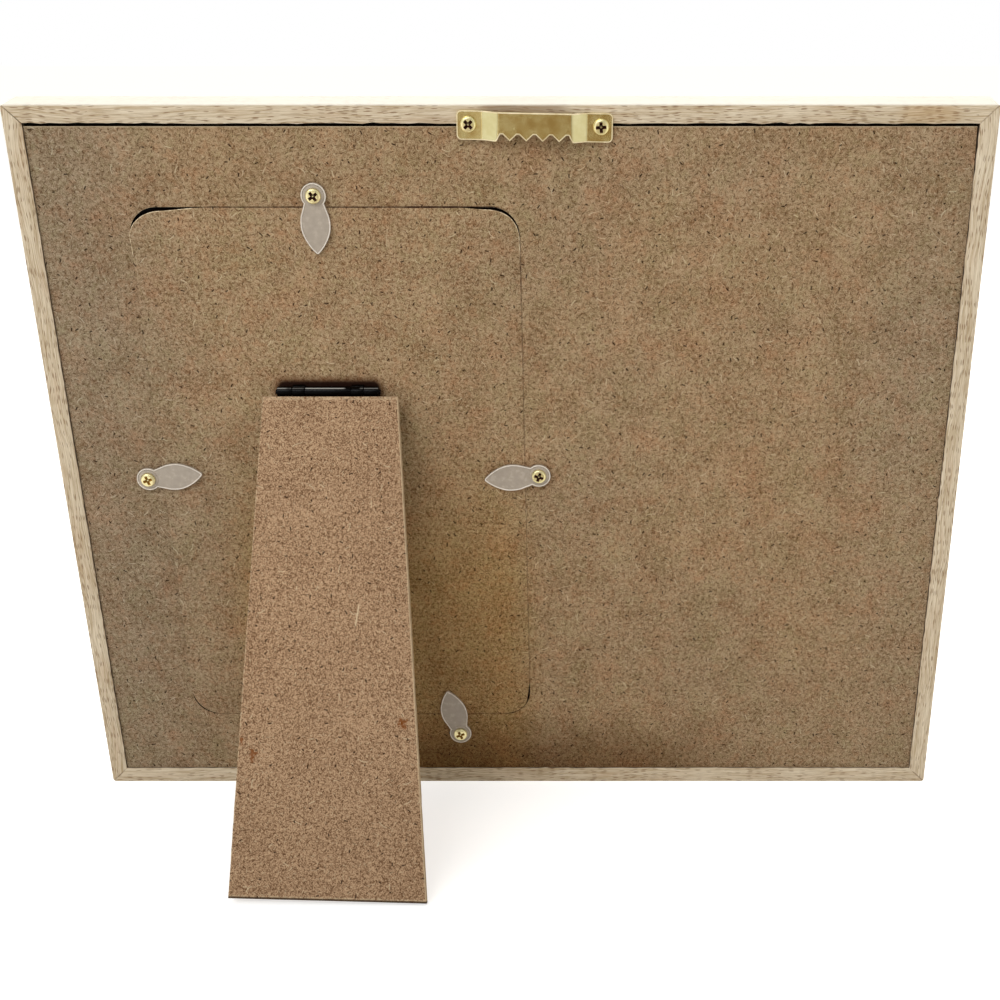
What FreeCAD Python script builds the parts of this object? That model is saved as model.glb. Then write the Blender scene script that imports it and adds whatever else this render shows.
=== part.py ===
import FreeCAD, Part
import math
import os

# Easel back photo frame, standing on its leg, seen and built as the maker assembles it.
# Lengths are millimetres and angles are degrees.
# Each piece is drawn in the frame's own upright place: X to the side, Y from the front face to the
# back, Z up from the foot of the frame. It is then leaned back and set down on the table.

os.makedirs("parts", exist_ok=True)
Vector = FreeCAD.Vector

# Whole frame. Its height follows from the door's opening and what is left above and below it.
frame_width = 267.0
frame_lean = 9.0
cut_overrun = 1.0
edge_tolerance = 0.01

# Rails: an L section, mitred at the corners
rail_wall = 5.0
rail_lip = 11.0
lip_thickness = 4.3
corner_round = 1.0
front_round = 0.8
back_round = 0.35
sight_round = 0.6

# Nails across the mitres
nail_radius = 0.6
nail_length = 14.0
nail_head_radius = 0.95
nail_head_length = 0.8

# Sheets in the rabbet, front to back
sheet_gap = 0.75
glass_thickness = 2.0
mat_thickness = 1.5
window_overlap = 3.0
print_width = 101.6
print_height = 152.4
print_thickness = 0.25

# Back panel with the opening for the door
panel_thickness = 3.0
panel_recess = 0.7
panel_side_gap = 0.25
panel_top_gap = 0.8
opening_side_room = 3.2
opening_end_room = 5.6
opening_side_margin = 29.9
opening_top_margin = 27.6
opening_foot_margin = 25.8
opening_corner = 8.0
door_kerf = 0.3
door_corner = 9.5

# Leg. Its length follows from the height of its hinge and from how far it opens.
leg_top_width = 38.8
leg_foot_width = 55.8
leg_skew = 0.9
leg_opening = 32.0
leg_thickness = 3.0
leg_offset = 1.27
leg_edge_round = 0.25

# Hinge
hinge_width = 29.4
hinge_shift = 1.0
hinge_drop = 80.6
leaf_thickness = 0.8
leaf_length = 12.0
leaf_corner = 2.0
pin_radius = 0.75
pin_running_gap = 0.05
pin_stand_out = 0.5
pin_end_round = 0.3
moving_gap = 0.3
knuckle_gap = 0.15
narrow_knuckle = 3.6
end_knuckle = 4.4
stop_gap = 0.15
stop_height = 1.0
rivet_radius = 1.0
rivet_head_radius = 1.8
rivet_depth = 2.1
rivet_spacing = 16.0
rivet_drop = 7.0

# Turn buttons
ring_radius = 3.45
neck_reach = 2.3
neck_half_width = 2.7
shoulder_reach = 5.0
shoulder_half_width = 3.66
waist_reach = 8.1
blade_half_width = 4.08
cheek_reach = 12.5
cheek_half_width = 2.95
tip_reach = 16.2
tip_radius = 0.5
blade_thickness = 0.95
blade_door_gap = 0.2
button_seat_gap = 0.1
boss_radius = 2.9
rim_width = 0.45
rim_height = 0.25

# Places of the buttons: set back from the edges of the opening, with shares along them
top_button_setback = 3.4
bottom_button_setback = 6.9
side_button_setback = 4.15
top_button_share = 0.02
bottom_button_share = -0.29
left_button_share = 0.0055
right_button_share = 0.0122
top_button_turn = 180.0
bottom_button_turn = 13.0
left_button_turn = 275.6
right_button_turn = 94.7

# Small pan head screws
screw_radius = 1.0
screw_head_radius = 2.15
screw_head_height = 1.0
screw_head_round = 0.75
screw_gap = 0.1
screw_bite = 2.4
cross_span = 2.5
cross_width = 0.6
cross_depth = 0.75
cross_turn = 45.0

# Sawtooth hanger
hanger_length = 41.9
hanger_height = 7.75
hanger_thickness = 0.7
hanger_rise = 1.9
plateau_length = 20.4
ramp_length = 4.4
hanger_corner = 1.3
hanger_bend_round = 0.5
hanger_drop = 5.7
hanger_offset = 9.1
hanger_tilt = -1.16
hanger_screw_spacing = 35.6
hanger_screw_rise = 0.3
hanger_screw_bite = 3.4
notch_count = 5
notch_pitch = 4.42
notch_height = 2.0
tooth_lift = 0.25
notch_flat = 0.35

# Depths of the layers, from the front face
glass_front = lip_thickness
mat_front = glass_front + glass_thickness
panel_front = mat_front + mat_thickness
print_back = panel_front + print_thickness
panel_back = panel_front + panel_thickness
door_back = print_back + panel_thickness
rail_depth = panel_back + panel_recess

# The opening, the whole height and the rabbet
opening_width = print_width + 2 * opening_side_room
opening_height = print_height + 2 * opening_end_room
opening_x = frame_width / 2 - opening_side_margin - opening_width / 2
opening_foot = opening_foot_margin
opening_top = opening_foot + opening_height
opening_z = (opening_foot + opening_top) / 2
frame_height = opening_top + opening_top_margin
rabbet_width = frame_width - 2 * rail_wall
rabbet_height = frame_height - 2 * rail_wall

# The hinge axis, and the leg beside it when it is folded flat
barrel_radius = pin_radius + pin_running_gap + leaf_thickness
leg_x = opening_x + leg_offset
hinge_x = leg_x + hinge_shift
axis_y = door_back + moving_gap + barrel_radius
axis_z = frame_height - hinge_drop
leg_inner_y = door_back + 2 * leaf_thickness + moving_gap
leg_top_z = axis_z - barrel_radius - moving_gap
wide_knuckle = hinge_width - 2 * (narrow_knuckle + end_knuckle)

# Places across the buttons' thickness, from the panel's back face outwards
boss_bottom = button_seat_gap
blade_bottom = print_thickness + blade_door_gap
blade_top = blade_bottom + blade_thickness
screw_seat = blade_top + screw_gap


def round_allowance(radius):
    """How far a leaning square corner would reach past its rounded edge."""
    lean = math.radians(frame_lean)
    return radius * (math.cos(lean) + math.sin(lean) - 1)


def standing_point(y, z):
    """Where a point of the upright frame lies once the frame leans back on its rear foot edge."""
    lean = math.radians(frame_lean)
    out = y - rail_depth
    height = z * math.cos(lean) - out * math.sin(lean) - round_allowance(back_round)
    return out * math.cos(lean) + z * math.sin(lean), height


def leg_drop():
    """How far below the pin the leg ends, so that its open foot's inner edge meets the table."""
    angle = math.radians(leg_opening - frame_lean)
    side = leg_inner_y - axis_y
    return (standing_point(axis_y, axis_z)[1] + side * math.sin(angle)) / math.cos(angle)


def middle_depth():
    """Half way, on the table, between the front of the frame and the back of the leg's foot."""
    angle = math.radians(leg_opening - frame_lean)
    side = leg_inner_y + leg_thickness - axis_y
    foot = standing_point(axis_y, axis_z)[0] + side * math.cos(angle) + leg_drop() * math.sin(angle)
    front = standing_point(0, 0)[0] + round_allowance(front_round)
    return (front + foot) / 2


leg_foot_z = axis_z - leg_drop()
origin_y = middle_depth()


def stand(shape):
    """Lean an upright piece back and set it on the table, over the part's origin."""
    placed = shape.copy()
    placed.translate(Vector(0, -rail_depth, 0))
    placed.rotate(Vector(0, 0, 0), Vector(1, 0, 0), -frame_lean)
    placed.translate(Vector(0, -origin_y, -round_allowance(back_round)))
    return placed


def swing_open(shape):
    """Turn a piece of the leg from folded flat to open, about the hinge pin."""
    swung = shape.copy()
    swung.rotate(Vector(0, axis_y, axis_z), Vector(1, 0, 0), leg_opening)
    return swung


def box(width, depth, height, middle_x, front_y, foot_z):
    """A block centred on middle_x."""
    return Part.makeBox(width, depth, height, Vector(middle_x - width / 2, front_y, foot_z))


def rod(radius, length, start, direction):
    return Part.makeCylinder(radius, length, start, direction)


def prism(points, thickness):
    """A closed outline of points in an XZ plane, thickened towards the back."""
    outline = Part.makePolygon(points + points[:1])
    return Part.Face(outline).extrude(Vector(0, thickness, 0))


def edges_where(shape, test):
    """Edges whose two ends both pass the test."""
    return [edge for edge in shape.Edges if all(test(vertex.Point) for vertex in edge.Vertexes)]


def near(value, place):
    return abs(value - place) < edge_tolerance


def rounded_plate(width, height, thickness, middle_x, front_y, middle_z, radius):
    """A flat plate with rounded corners."""
    plate = box(width, thickness, height, middle_x, front_y, middle_z - height / 2)
    corners = [edge for edge in plate.Edges
               if not near(edge.Vertexes[0].Point.y, edge.Vertexes[-1].Point.y)]
    return plate.makeFillet(radius, corners)


def moulding():
    """The four rails before they are cut apart at the mitres."""
    blank = rounded_plate(frame_width, frame_height, rail_depth, 0, 0, frame_height / 2, corner_round)
    blank = blank.makeFillet(front_round, edges_where(blank, lambda p: near(p.y, 0)))
    blank = blank.makeFillet(back_round, edges_where(blank, lambda p: near(p.y, rail_depth)))
    rabbet = box(rabbet_width, rail_depth - lip_thickness + cut_overrun, rabbet_height, 0,
                 lip_thickness, rail_wall)
    sight = box(frame_width - 2 * rail_lip, lip_thickness + 2 * cut_overrun,
                frame_height - 2 * rail_lip, 0, -cut_overrun, rail_lip)
    hollow = blank.cut(rabbet.fuse(sight))
    half_sight = frame_width / 2 - rail_lip
    inner = edges_where(hollow, lambda p: near(p.y, 0) and near(abs(p.x), half_sight))
    return hollow.makeFillet(sight_round, inner)


def mitre_wedge(side):
    """A slice of the frame between two mitres: the foot, the top or a side."""
    wide = frame_width / 2 + cut_overrun
    reach = rail_lip + cut_overrun
    half = frame_width / 2 - rail_lip
    foot = -cut_overrun
    top = frame_height + cut_overrun
    outlines = {
        "rail_bottom": [(-wide, foot), (wide, foot), (half, rail_lip), (-half, rail_lip)],
        "rail_top": [(-wide, top), (wide, top), (half, top - reach), (-half, top - reach)],
        "rail_left": [(-wide, foot), (-wide, top), (-half, top - reach), (-half, rail_lip)],
        "rail_right": [(wide, foot), (wide, top), (half, top - reach), (half, rail_lip)],
    }
    points = [Vector(x, -cut_overrun, z) for x, z in outlines[side]]
    return prism(points, rail_depth + 2 * cut_overrun)


def corner_nails():
    """One nail at each corner, driven in from the side through the mitre, its head flush."""
    nails = []
    for side in (-1, 1):
        for height in (rail_lip / 2, frame_height - rail_lip / 2):
            start = Vector(side * frame_width / 2, lip_thickness / 2, height)
            inwards = Vector(-side, 0, 0)
            shank = rod(nail_radius, nail_length, start, inwards)
            head = rod(nail_head_radius, nail_head_length, start, inwards)
            nails.append(shank.fuse(head).removeSplitter())
    return Part.makeCompound(nails)


def hanger_screw_places():
    """The hanger's two screws, in the plate's own place before it is tilted."""
    half = hanger_screw_spacing / 2
    return [Vector(side * half, 0, hanger_screw_rise) for side in (-1, 1)]


def set_hanger(shape):
    """Tilt a piece of the hanger as it is fixed, and set it over the seam at the top rail."""
    fixed = shape.copy()
    fixed.rotate(Vector(0, 0, 0), Vector(0, 1, 0), hanger_tilt)
    fixed.translate(Vector(-hanger_offset, rail_depth, frame_height - hanger_drop))
    return fixed


def hanger_screw_holes():
    holes = [rod(screw_radius, hanger_screw_bite, place, Vector(0, -1, 0))
             for place in hanger_screw_places()]
    return set_hanger(Part.makeCompound(holes))


def rails():
    """The four mitred rails, each its own solid."""
    whole = moulding().cut(corner_nails()).cut(hanger_screw_holes())
    names = ("rail_top", "rail_bottom", "rail_left", "rail_right")
    return {name: whole.common(mitre_wedge(name)) for name in names}


def glass_pane():
    width = rabbet_width - 2 * sheet_gap
    height = rabbet_height - 2 * sheet_gap
    return box(width, glass_thickness, height, 0, glass_front, rail_wall + sheet_gap)


def mat_board():
    """A full sheet of board with one window, its edges cut on a slope that faces forward."""
    width = rabbet_width - 2 * sheet_gap
    height = rabbet_height - 2 * sheet_gap
    sheet = box(width, mat_thickness, height, 0, mat_front, rail_wall + sheet_gap)
    rings = []
    for depth, slope in ((mat_front, mat_thickness), (panel_front, 0)):
        half_width = print_width / 2 - window_overlap + slope
        half_height = print_height / 2 - window_overlap + slope
        corners = [Vector(opening_x + a * half_width, depth, opening_z + b * half_height)
                   for a, b in ((-1, -1), (1, -1), (1, 1), (-1, 1))]
        rings.append(Part.makePolygon(corners + corners[:1]))
    return sheet.cut(Part.makeLoft(rings, True, True))


def photo_insert():
    foot = opening_z - print_height / 2
    return box(print_width, print_thickness, print_height, opening_x, panel_front, foot)


def button_places():
    """Each turn button's name, the place of its screw and the way its blade points."""
    reach_x = opening_width / 2 + side_button_setback
    return [
        ("turn_button_top", opening_x + top_button_share * opening_width,
         opening_top + top_button_setback, top_button_turn),
        ("turn_button_bottom", opening_x + bottom_button_share * opening_width,
         opening_foot - bottom_button_setback, bottom_button_turn),
        ("turn_button_left", opening_x + reach_x,
         opening_z + left_button_share * opening_height, left_button_turn),
        ("turn_button_right", opening_x - reach_x,
         opening_z + right_button_share * opening_height, right_button_turn),
    ]


def back_panel():
    """The fixed sheet of the back, with the opening, the screw holes and the hanger's grooves."""
    width = rabbet_width - 2 * panel_side_gap
    height = rabbet_height - panel_top_gap
    sheet = box(width, panel_thickness, height, 0, panel_front, rail_wall)
    opening = rounded_plate(opening_width, opening_height, panel_thickness + 2 * cut_overrun,
                            opening_x, panel_front - cut_overrun, opening_z, opening_corner)
    holes = [rod(screw_radius, screw_bite, Vector(x, panel_back, z), Vector(0, -1, 0))
             for name, x, z, turn in button_places()]
    return sheet.cut(opening).cut(Part.makeCompound(holes)).cut(hanger_screw_holes())


def rivet_places():
    height = axis_z - rivet_drop
    return [(hinge_x + side * rivet_spacing / 2, height) for side in (-1, 1)]


def rivets(face_y, direction):
    """Two flush rivets: a sloping head as deep as a hinge leaf, and a shank into the board."""
    group = []
    for x, z in rivet_places():
        start = Vector(x, face_y, z)
        inwards = Vector(0, direction, 0)
        head = Part.makeCone(rivet_head_radius, rivet_radius, leaf_thickness, start, inwards)
        shank = rod(rivet_radius, leaf_thickness + rivet_depth, start, inwards)
        group.append(head.fuse(shank).removeSplitter())
    return Part.makeCompound(group)


def door_rivets():
    return rivets(door_back + leaf_thickness, -1)


def leg_rivets():
    return rivets(leg_inner_y - leaf_thickness, 1)


def back_door():
    """The loose board that closes the opening, pressed out a little by the print behind it."""
    door = rounded_plate(opening_width - 2 * door_kerf, opening_height - 2 * door_kerf,
                         panel_thickness, opening_x, print_back, opening_z, door_corner)
    return door.cut(door_rivets())


def easel_leg():
    """The tapered leg, folded flat over the door."""
    top = leg_top_width / 2
    foot = leg_foot_width / 2
    outline = [(-foot - leg_skew, leg_foot_z), (foot - leg_skew, leg_foot_z),
               (top, leg_top_z), (-top, leg_top_z)]
    plate = prism([Vector(leg_x + x, leg_inner_y, z) for x, z in outline], leg_thickness)
    outer = leg_inner_y + leg_thickness
    plate = plate.makeFillet(leg_edge_round, edges_where(plate, lambda p: near(p.y, outer)))
    return plate.cut(leg_rivets())


def knuckle_spans():
    """Start and end of each knuckle along the pin: end, narrow, wide, narrow, end."""
    start = hinge_x - hinge_width / 2
    spans = []
    for length in (end_knuckle, narrow_knuckle, wide_knuckle, narrow_knuckle, end_knuckle):
        spans.append((start, start + length))
        start += length
    return spans


def knuckle(span, radius):
    """A plain tube's outside round the pin, shortened so that it runs clear of the next one."""
    low, high = span
    start = Vector(low + knuckle_gap / 2, axis_y, axis_z)
    return rod(radius, high - low - knuckle_gap, start, Vector(1, 0, 0))


def leaf(front_y, own_spans, other_spans):
    """A hinge leaf below the pin, with its own knuckles and room for the other leaf's."""
    foot = axis_z - leaf_length
    plate = box(hinge_width, leaf_thickness, leaf_length, hinge_x, front_y, foot)
    corners = edges_where(plate, lambda p: near(p.z, foot))
    corners = [edge for edge in corners if near(edge.Vertexes[0].Point.x, edge.Vertexes[-1].Point.x)]
    plate = plate.makeFillet(leaf_corner, corners)
    for low, high in other_spans:
        room = rod(barrel_radius + moving_gap, high - low + knuckle_gap,
                   Vector(low - knuckle_gap / 2, axis_y, axis_z), Vector(1, 0, 0))
        above = box(high - low + knuckle_gap, leaf_thickness + 2 * cut_overrun, barrel_radius + moving_gap,
                    (low + high) / 2, front_y - cut_overrun, axis_z - barrel_radius)
        plate = plate.cut(room.fuse(above))
    for span in own_spans:
        plate = plate.fuse(knuckle(span, barrel_radius))
    return plate


def pin_bore():
    start = Vector(hinge_x - hinge_width / 2 - cut_overrun, axis_y, axis_z)
    return rod(pin_radius + pin_running_gap, hinge_width + 2 * cut_overrun, start, Vector(1, 0, 0))


def hinge_door_leaf():
    spans = knuckle_spans()
    plate = leaf(door_back, spans[0::2], spans[1::2])
    return plate.cut(pin_bore()).cut(door_rivets()).removeSplitter()


def stop_heels():
    """Two heels over the pin that meet the door when the leg is open, drawn with the leg open."""
    heels = []
    depth = axis_y - door_back - stop_gap
    for low, high in knuckle_spans()[1::2]:
        heels.append(box(high - low - knuckle_gap, depth, stop_height + leaf_thickness,
                         (low + high) / 2, door_back + stop_gap, axis_z + barrel_radius - leaf_thickness))
    group = Part.makeCompound(heels)
    group.rotate(Vector(0, axis_y, axis_z), Vector(1, 0, 0), -leg_opening)
    return group


def hinge_leg_leaf():
    spans = knuckle_spans()
    plate = leaf(leg_inner_y - leaf_thickness, spans[1::2], spans[0::2])
    for heel in stop_heels().Solids:
        plate = plate.fuse(heel)
    return plate.cut(pin_bore()).cut(leg_rivets()).removeSplitter()


def hinge_pin():
    start = Vector(hinge_x - hinge_width / 2 - pin_stand_out, axis_y, axis_z)
    pin = rod(pin_radius, hinge_width + 2 * pin_stand_out, start, Vector(1, 0, 0))
    return pin.makeFillet(pin_end_round, [edge for edge in pin.Edges if edge.Closed and near(
        edge.BoundBox.XLength, 0)])


def button_outline():
    """A round ring that flows into a leaf-shaped blade pointing up, flat in the XZ plane."""
    ring = Part.Face(Part.Wire(Part.makeCircle(ring_radius, Vector(0, 0, 0), Vector(0, -1, 0))))
    tip_side = tip_radius * math.sqrt(2) / 2
    tip_end = tip_reach - tip_radius + tip_side
    half = [(neck_half_width, neck_reach), (shoulder_half_width, shoulder_reach),
            (blade_half_width, waist_reach), (cheek_half_width, cheek_reach), (tip_side, tip_end)]
    left = [Vector(-x, 0, z) for x, z in half]
    right = [Vector(x, 0, z) for x, z in half]
    edges = [
        Part.makeLine(left[0], right[0]),
        Part.Arc(right[0], right[1], right[2]).toShape(),
        Part.Arc(right[2], right[3], right[4]).toShape(),
        Part.Arc(right[4], Vector(0, 0, tip_reach), left[4]).toShape(),
        Part.Arc(left[4], left[3], left[2]).toShape(),
        Part.Arc(left[2], left[1], left[0]).toShape(),
    ]
    blade = Part.Face(Part.Wire(edges))
    return ring.fuse(blade).removeSplitter().Faces[0]


def turn_button():
    """One button on its screw's axis, its blade up: a seat, a blade and a thin raised rim."""
    outline = button_outline()
    body = outline.extrude(Vector(0, blade_thickness, 0))
    inside = outline.makeOffset2D(-rim_width)
    pocket = inside.extrude(Vector(0, rim_height, 0))
    pocket.translate(Vector(0, blade_thickness - rim_height, 0))
    body = body.cut(pocket)
    body.translate(Vector(0, blade_bottom, 0))
    seat = rod(ring_radius, blade_bottom - boss_bottom, Vector(0, boss_bottom, 0), Vector(0, 1, 0))
    boss = rod(boss_radius, blade_top - boss_bottom, Vector(0, boss_bottom, 0), Vector(0, 1, 0))
    bore = rod(screw_radius + screw_gap, blade_top + cut_overrun, Vector(0, 0, 0), Vector(0, 1, 0))
    return body.fuse(seat).fuse(boss).cut(bore).removeSplitter()


def pan_screw(seat, bite):
    """A cross recessed screw on the Y axis, its head on a seat and its shank biting below zero."""
    head = rod(screw_head_radius, screw_head_height, Vector(0, seat, 0), Vector(0, 1, 0))
    top = seat + screw_head_height
    head = head.makeFillet(screw_head_round, [edge for edge in head.Edges
                                              if edge.Closed and near(edge.BoundBox.YMin, top)])
    shank = rod(screw_radius, seat + bite, Vector(0, -bite, 0), Vector(0, 1, 0))
    foot = top - cross_depth
    cross = box(cross_span, cross_depth + cut_overrun, cross_width, 0, foot, -cross_width / 2)
    cross = cross.fuse(box(cross_width, cross_depth + cut_overrun, cross_span, 0, foot, -cross_span / 2))
    cross.rotate(Vector(0, 0, 0), Vector(0, 1, 0), cross_turn)
    return head.fuse(shank).cut(cross).removeSplitter()


def placed_on_panel(shape, x, z, turn):
    placed = shape.copy()
    placed.rotate(Vector(0, 0, 0), Vector(0, 1, 0), turn)
    placed.translate(Vector(x, panel_back, z))
    return placed


def turn_buttons():
    button = turn_button()
    return {name: placed_on_panel(button, x, z, turn) for name, x, z, turn in button_places()}


def button_screws():
    screw = pan_screw(screw_seat, screw_bite)
    return Part.makeCompound([placed_on_panel(screw, x, z, turn)
                              for name, x, z, turn in button_places()])


def hanger_screws():
    screw = pan_screw(hanger_thickness, hanger_screw_bite)
    group = []
    for place in hanger_screw_places():
        one = screw.copy()
        one.translate(place)
        group.append(one)
    return set_hanger(Part.makeCompound(group))


def hanger_strip():
    """The bent strip, seen from above: a foot, a ramp, the raised middle, a ramp and a foot."""
    half = hanger_length / 2
    crest = plateau_length / 2
    ramp_foot = crest + ramp_length
    shift = hanger_thickness * math.tan(math.atan2(hanger_rise, ramp_length) / 2)
    inner = [(-half, 0), (-ramp_foot, 0), (-crest, hanger_rise),
             (crest, hanger_rise), (ramp_foot, 0), (half, 0)]
    outer = [(half, 0), (ramp_foot + shift, 0), (crest + shift, hanger_rise),
             (-crest - shift, hanger_rise), (-ramp_foot - shift, 0), (-half, 0)]
    base = -hanger_height / 2
    points = [Vector(x, y, base) for x, y in inner]
    points += [Vector(x, y + hanger_thickness, base) for x, y in outer]
    strip = Part.Face(Part.makePolygon(points + points[:1])).extrude(Vector(0, 0, hanger_height))
    upright = [edge for edge in strip.Edges
               if near(edge.Vertexes[0].Point.x, edge.Vertexes[-1].Point.x)
               and near(edge.Vertexes[0].Point.y, edge.Vertexes[-1].Point.y)
               and abs(edge.Vertexes[0].Point.x) < ramp_foot + ramp_length]
    strip = strip.makeFillet(hanger_bend_round, upright)
    corners = edges_where(strip, lambda p: near(abs(p.x), half))
    corners = [edge for edge in corners
               if near(edge.Vertexes[0].Point.z, edge.Vertexes[-1].Point.z)]
    return strip.makeFillet(hanger_corner, corners)


def saw_teeth():
    """What is cut from the strip's lower edge: notches that the nail's head catches in."""
    base = -hanger_height / 2
    first = -notch_pitch * (notch_count - 1) / 2
    outline = [(first - notch_pitch / 2, base - cut_overrun), (first - notch_pitch / 2, base)]
    for number in range(notch_count):
        x = first + number * notch_pitch
        outline += [(x - notch_flat, base + notch_height), (x + notch_flat, base + notch_height)]
        if number < notch_count - 1:
            outline.append((x + notch_pitch / 2, base + tooth_lift))
    outline += [(-first + notch_pitch / 2, base), (-first + notch_pitch / 2, base - cut_overrun)]
    points = [Vector(x, -cut_overrun, z) for x, z in outline]
    return prism(points, hanger_rise + hanger_thickness + 2 * cut_overrun)


def sawtooth_hanger():
    holes = [rod(screw_radius, hanger_thickness, place, Vector(0, 1, 0))
             for place in hanger_screw_places()]
    plate = hanger_strip().cut(saw_teeth()).cut(Part.makeCompound(holes))
    return set_hanger(plate)


def pieces():
    """Every piece by its name: first those that lean with the frame, then those of the leg."""
    frame_pieces = {
        "corner_nails": corner_nails(),
        "glass_pane": glass_pane(),
        "mat_board": mat_board(),
        "photo_insert": photo_insert(),
        "back_panel": back_panel(),
        "back_door": back_door(),
        "hinge_door_leaf": hinge_door_leaf(),
        "hinge_pin": hinge_pin(),
        "hinge_door_rivets": door_rivets(),
        "button_screws": button_screws(),
        "sawtooth_hanger": sawtooth_hanger(),
        "hanger_screws": hanger_screws(),
    }
    frame_pieces.update(rails())
    frame_pieces.update(turn_buttons())
    leg_pieces = {
        "easel_leg": easel_leg(),
        "hinge_leg_leaf": hinge_leg_leaf(),
        "hinge_leg_rivets": leg_rivets(),
    }
    standing = {name: stand(shape) for name, shape in frame_pieces.items()}
    standing.update({name: stand(swing_open(shape)) for name, shape in leg_pieces.items()})
    return standing


for node, solid in pieces().items():
    solid.exportStep("parts/" + node + ".step")
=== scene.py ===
import math
from functools import partialmethod

import bmesh
import bpy
from bpy.props import FloatProperty, FloatVectorProperty, PointerProperty
from bpy.types import Operator, Panel, PropertyGroup
from mathutils import Matrix, Vector


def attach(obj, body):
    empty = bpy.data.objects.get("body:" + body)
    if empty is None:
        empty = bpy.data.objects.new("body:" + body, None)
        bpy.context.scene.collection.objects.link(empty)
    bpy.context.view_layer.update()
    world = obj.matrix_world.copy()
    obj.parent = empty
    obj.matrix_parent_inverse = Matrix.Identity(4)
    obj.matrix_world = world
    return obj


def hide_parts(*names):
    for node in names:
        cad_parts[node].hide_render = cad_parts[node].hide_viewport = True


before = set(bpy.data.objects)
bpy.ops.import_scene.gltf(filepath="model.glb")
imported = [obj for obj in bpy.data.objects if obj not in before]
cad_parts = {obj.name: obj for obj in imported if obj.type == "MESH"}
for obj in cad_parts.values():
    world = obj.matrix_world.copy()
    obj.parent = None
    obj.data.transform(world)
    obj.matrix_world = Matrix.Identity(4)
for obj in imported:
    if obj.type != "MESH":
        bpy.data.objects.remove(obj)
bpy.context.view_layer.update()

# A wooden photo frame that stands on its easel leg, seen from its back.
# Sizes are metres. Pieces are modelled upright, X to the side, Y from the front face to the back and
# Z up from the foot of the frame, and are then leaned back and set down where the frame stands.

bl_info = {
    "name": "Easel Back Photo Frame",
    "version": (1, 0, 0),
    "blender": (4, 5, 0),
    "location": "3D View > Sidebar > Photo Frame",
    "description": "Models and finishes a standing photo frame: rails, boards, leg, buttons and hanger",
    "category": "Add Mesh",
}

MM = 0.001
NEAR = 0.01 * MM  # two places this close are the same place
EDGE = 0.16 * MM  # softening of the sawn and stamped edges


def length(name, description, millimetres):
    return FloatProperty(name=name, description=description, default=millimetres * MM,
                         unit="LENGTH", precision=5)


def angle(name, description, degrees):
    return FloatProperty(name=name, description=description, default=math.radians(degrees),
                         unit="ROTATION")


def share(name, description, default):
    return FloatProperty(name=name, description=description, default=default, min=0, max=2,
                         subtype="FACTOR")


def power(name, description, watts):
    return FloatProperty(name=name, description=description, default=watts, unit="POWER")


def tone(red, green, blue):
    """A colour read on a screen, from 0 to 255, as the light it stands for."""
    def light(value):
        value /= 255
        return value / 12.92 if value <= 0.04045 else ((value + 0.055) / 1.055) ** 2.4
    return light(red), light(green), light(blue)


def colour(name, description, *screen):
    return FloatVectorProperty(name=name, description=description, default=tone(*screen),
                               subtype="COLOR", size=3, min=0, max=1)


class FrameSizes(PropertyGroup):
    width: length("Width", "Outside width of the frame", 267)
    height: length("Height", "Outside height of the frame", 217)
    depth: length("Depth", "Depth of the rails, front to back", 11.5)
    wall: length("Wall", "Width of the rails' back edge", 5)
    lip: length("Lip", "Width of the rails' front face", 11)
    lip_depth: length("Lip depth", "Thickness of the lip in front of the glass", 4.3)
    glass: length("Glass", "Thickness of the glass", 2)
    corner: length("Corner", "Rounding of the frame's four corners", 1)
    front_round: length("Front edge", "Rounding of the outer front edges", 0.8)
    sight_round: length("Sight edge", "Rounding of the inner front edges", 0.6)
    back_round: length("Back edge", "Rounding of the outer back edges", 0.35)
    saw_wobble: length("Saw wobble", "How unevenly the back's inner edges are sawn", 0.5)
    nail: length("Nail", "Radius of the nail heads", 0.95)
    nail_length: length("Nail length", "Length of the corner nails", 14)
    lean: angle("Lean", "How far the frame leans back", 9)
    set_back: length("Set back", "From the rear foot edge to the part's origin", 35.67803)
    drop: length("Drop", "How far the foot's rounding lets the frame down", 0.05044)


class BoardSizes(PropertyGroup):
    front: length("Panel front", "Depth of the panel's hidden face", 7.8)
    thickness: length("Thickness", "Thickness of the boards", 3)
    side_gap: length("Side gap", "Room beside the panel", 0.12)
    top_gap: length("Top gap", "Room over the panel", 0.9)
    middle_x: length("Door middle", "Sideways place of the door", 49.6)
    middle_z: length("Door height", "Height of the door's middle", 107.6)
    opening_width: length("Opening width", "Width of the opening", 108)
    opening_height: length("Opening height", "Height of the opening", 163.6)
    opening_corner: length("Opening corner", "Corner rounding of the opening", 8)
    kerf: length("Kerf", "Gap round the door", 0.07)
    door_corner: length("Door corner", "Corner rounding of the door", 8.9)
    door_front: length("Door front", "Depth of the door's hidden face", 8.05)
    wobble: length("Saw wobble", "How unevenly the door is cut", 0.12)


class LegSizes(PropertyGroup):
    middle_x: length("Middle", "Sideways place of the leg", 50.87)
    top: length("Top", "Height of the leg's top when folded", 134.5)
    foot: length("Foot", "Height of the leg's foot when folded", -9.654)
    top_width: length("Top width", "Width of the leg at its top", 38.8)
    foot_width: length("Foot width", "Width of the leg at its foot", 55.8)
    skew: length("Skew", "How far the foot is cut off to one side", 0.9)
    foot_slope: length("Foot slope", "How much shorter the leg is at one corner", 1.5)
    inner: length("Inner face", "Depth of the leg's inner face when folded", 12.95)
    thickness: length("Thickness", "Thickness of the leg", 3)
    axis_y: length("Pin depth", "Depth of the hinge pin", 12.95)
    axis_z: length("Pin height", "Height of the hinge pin", 136.4)
    opening: angle("Opening", "Angle between the open leg and the door", 32.0)


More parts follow.
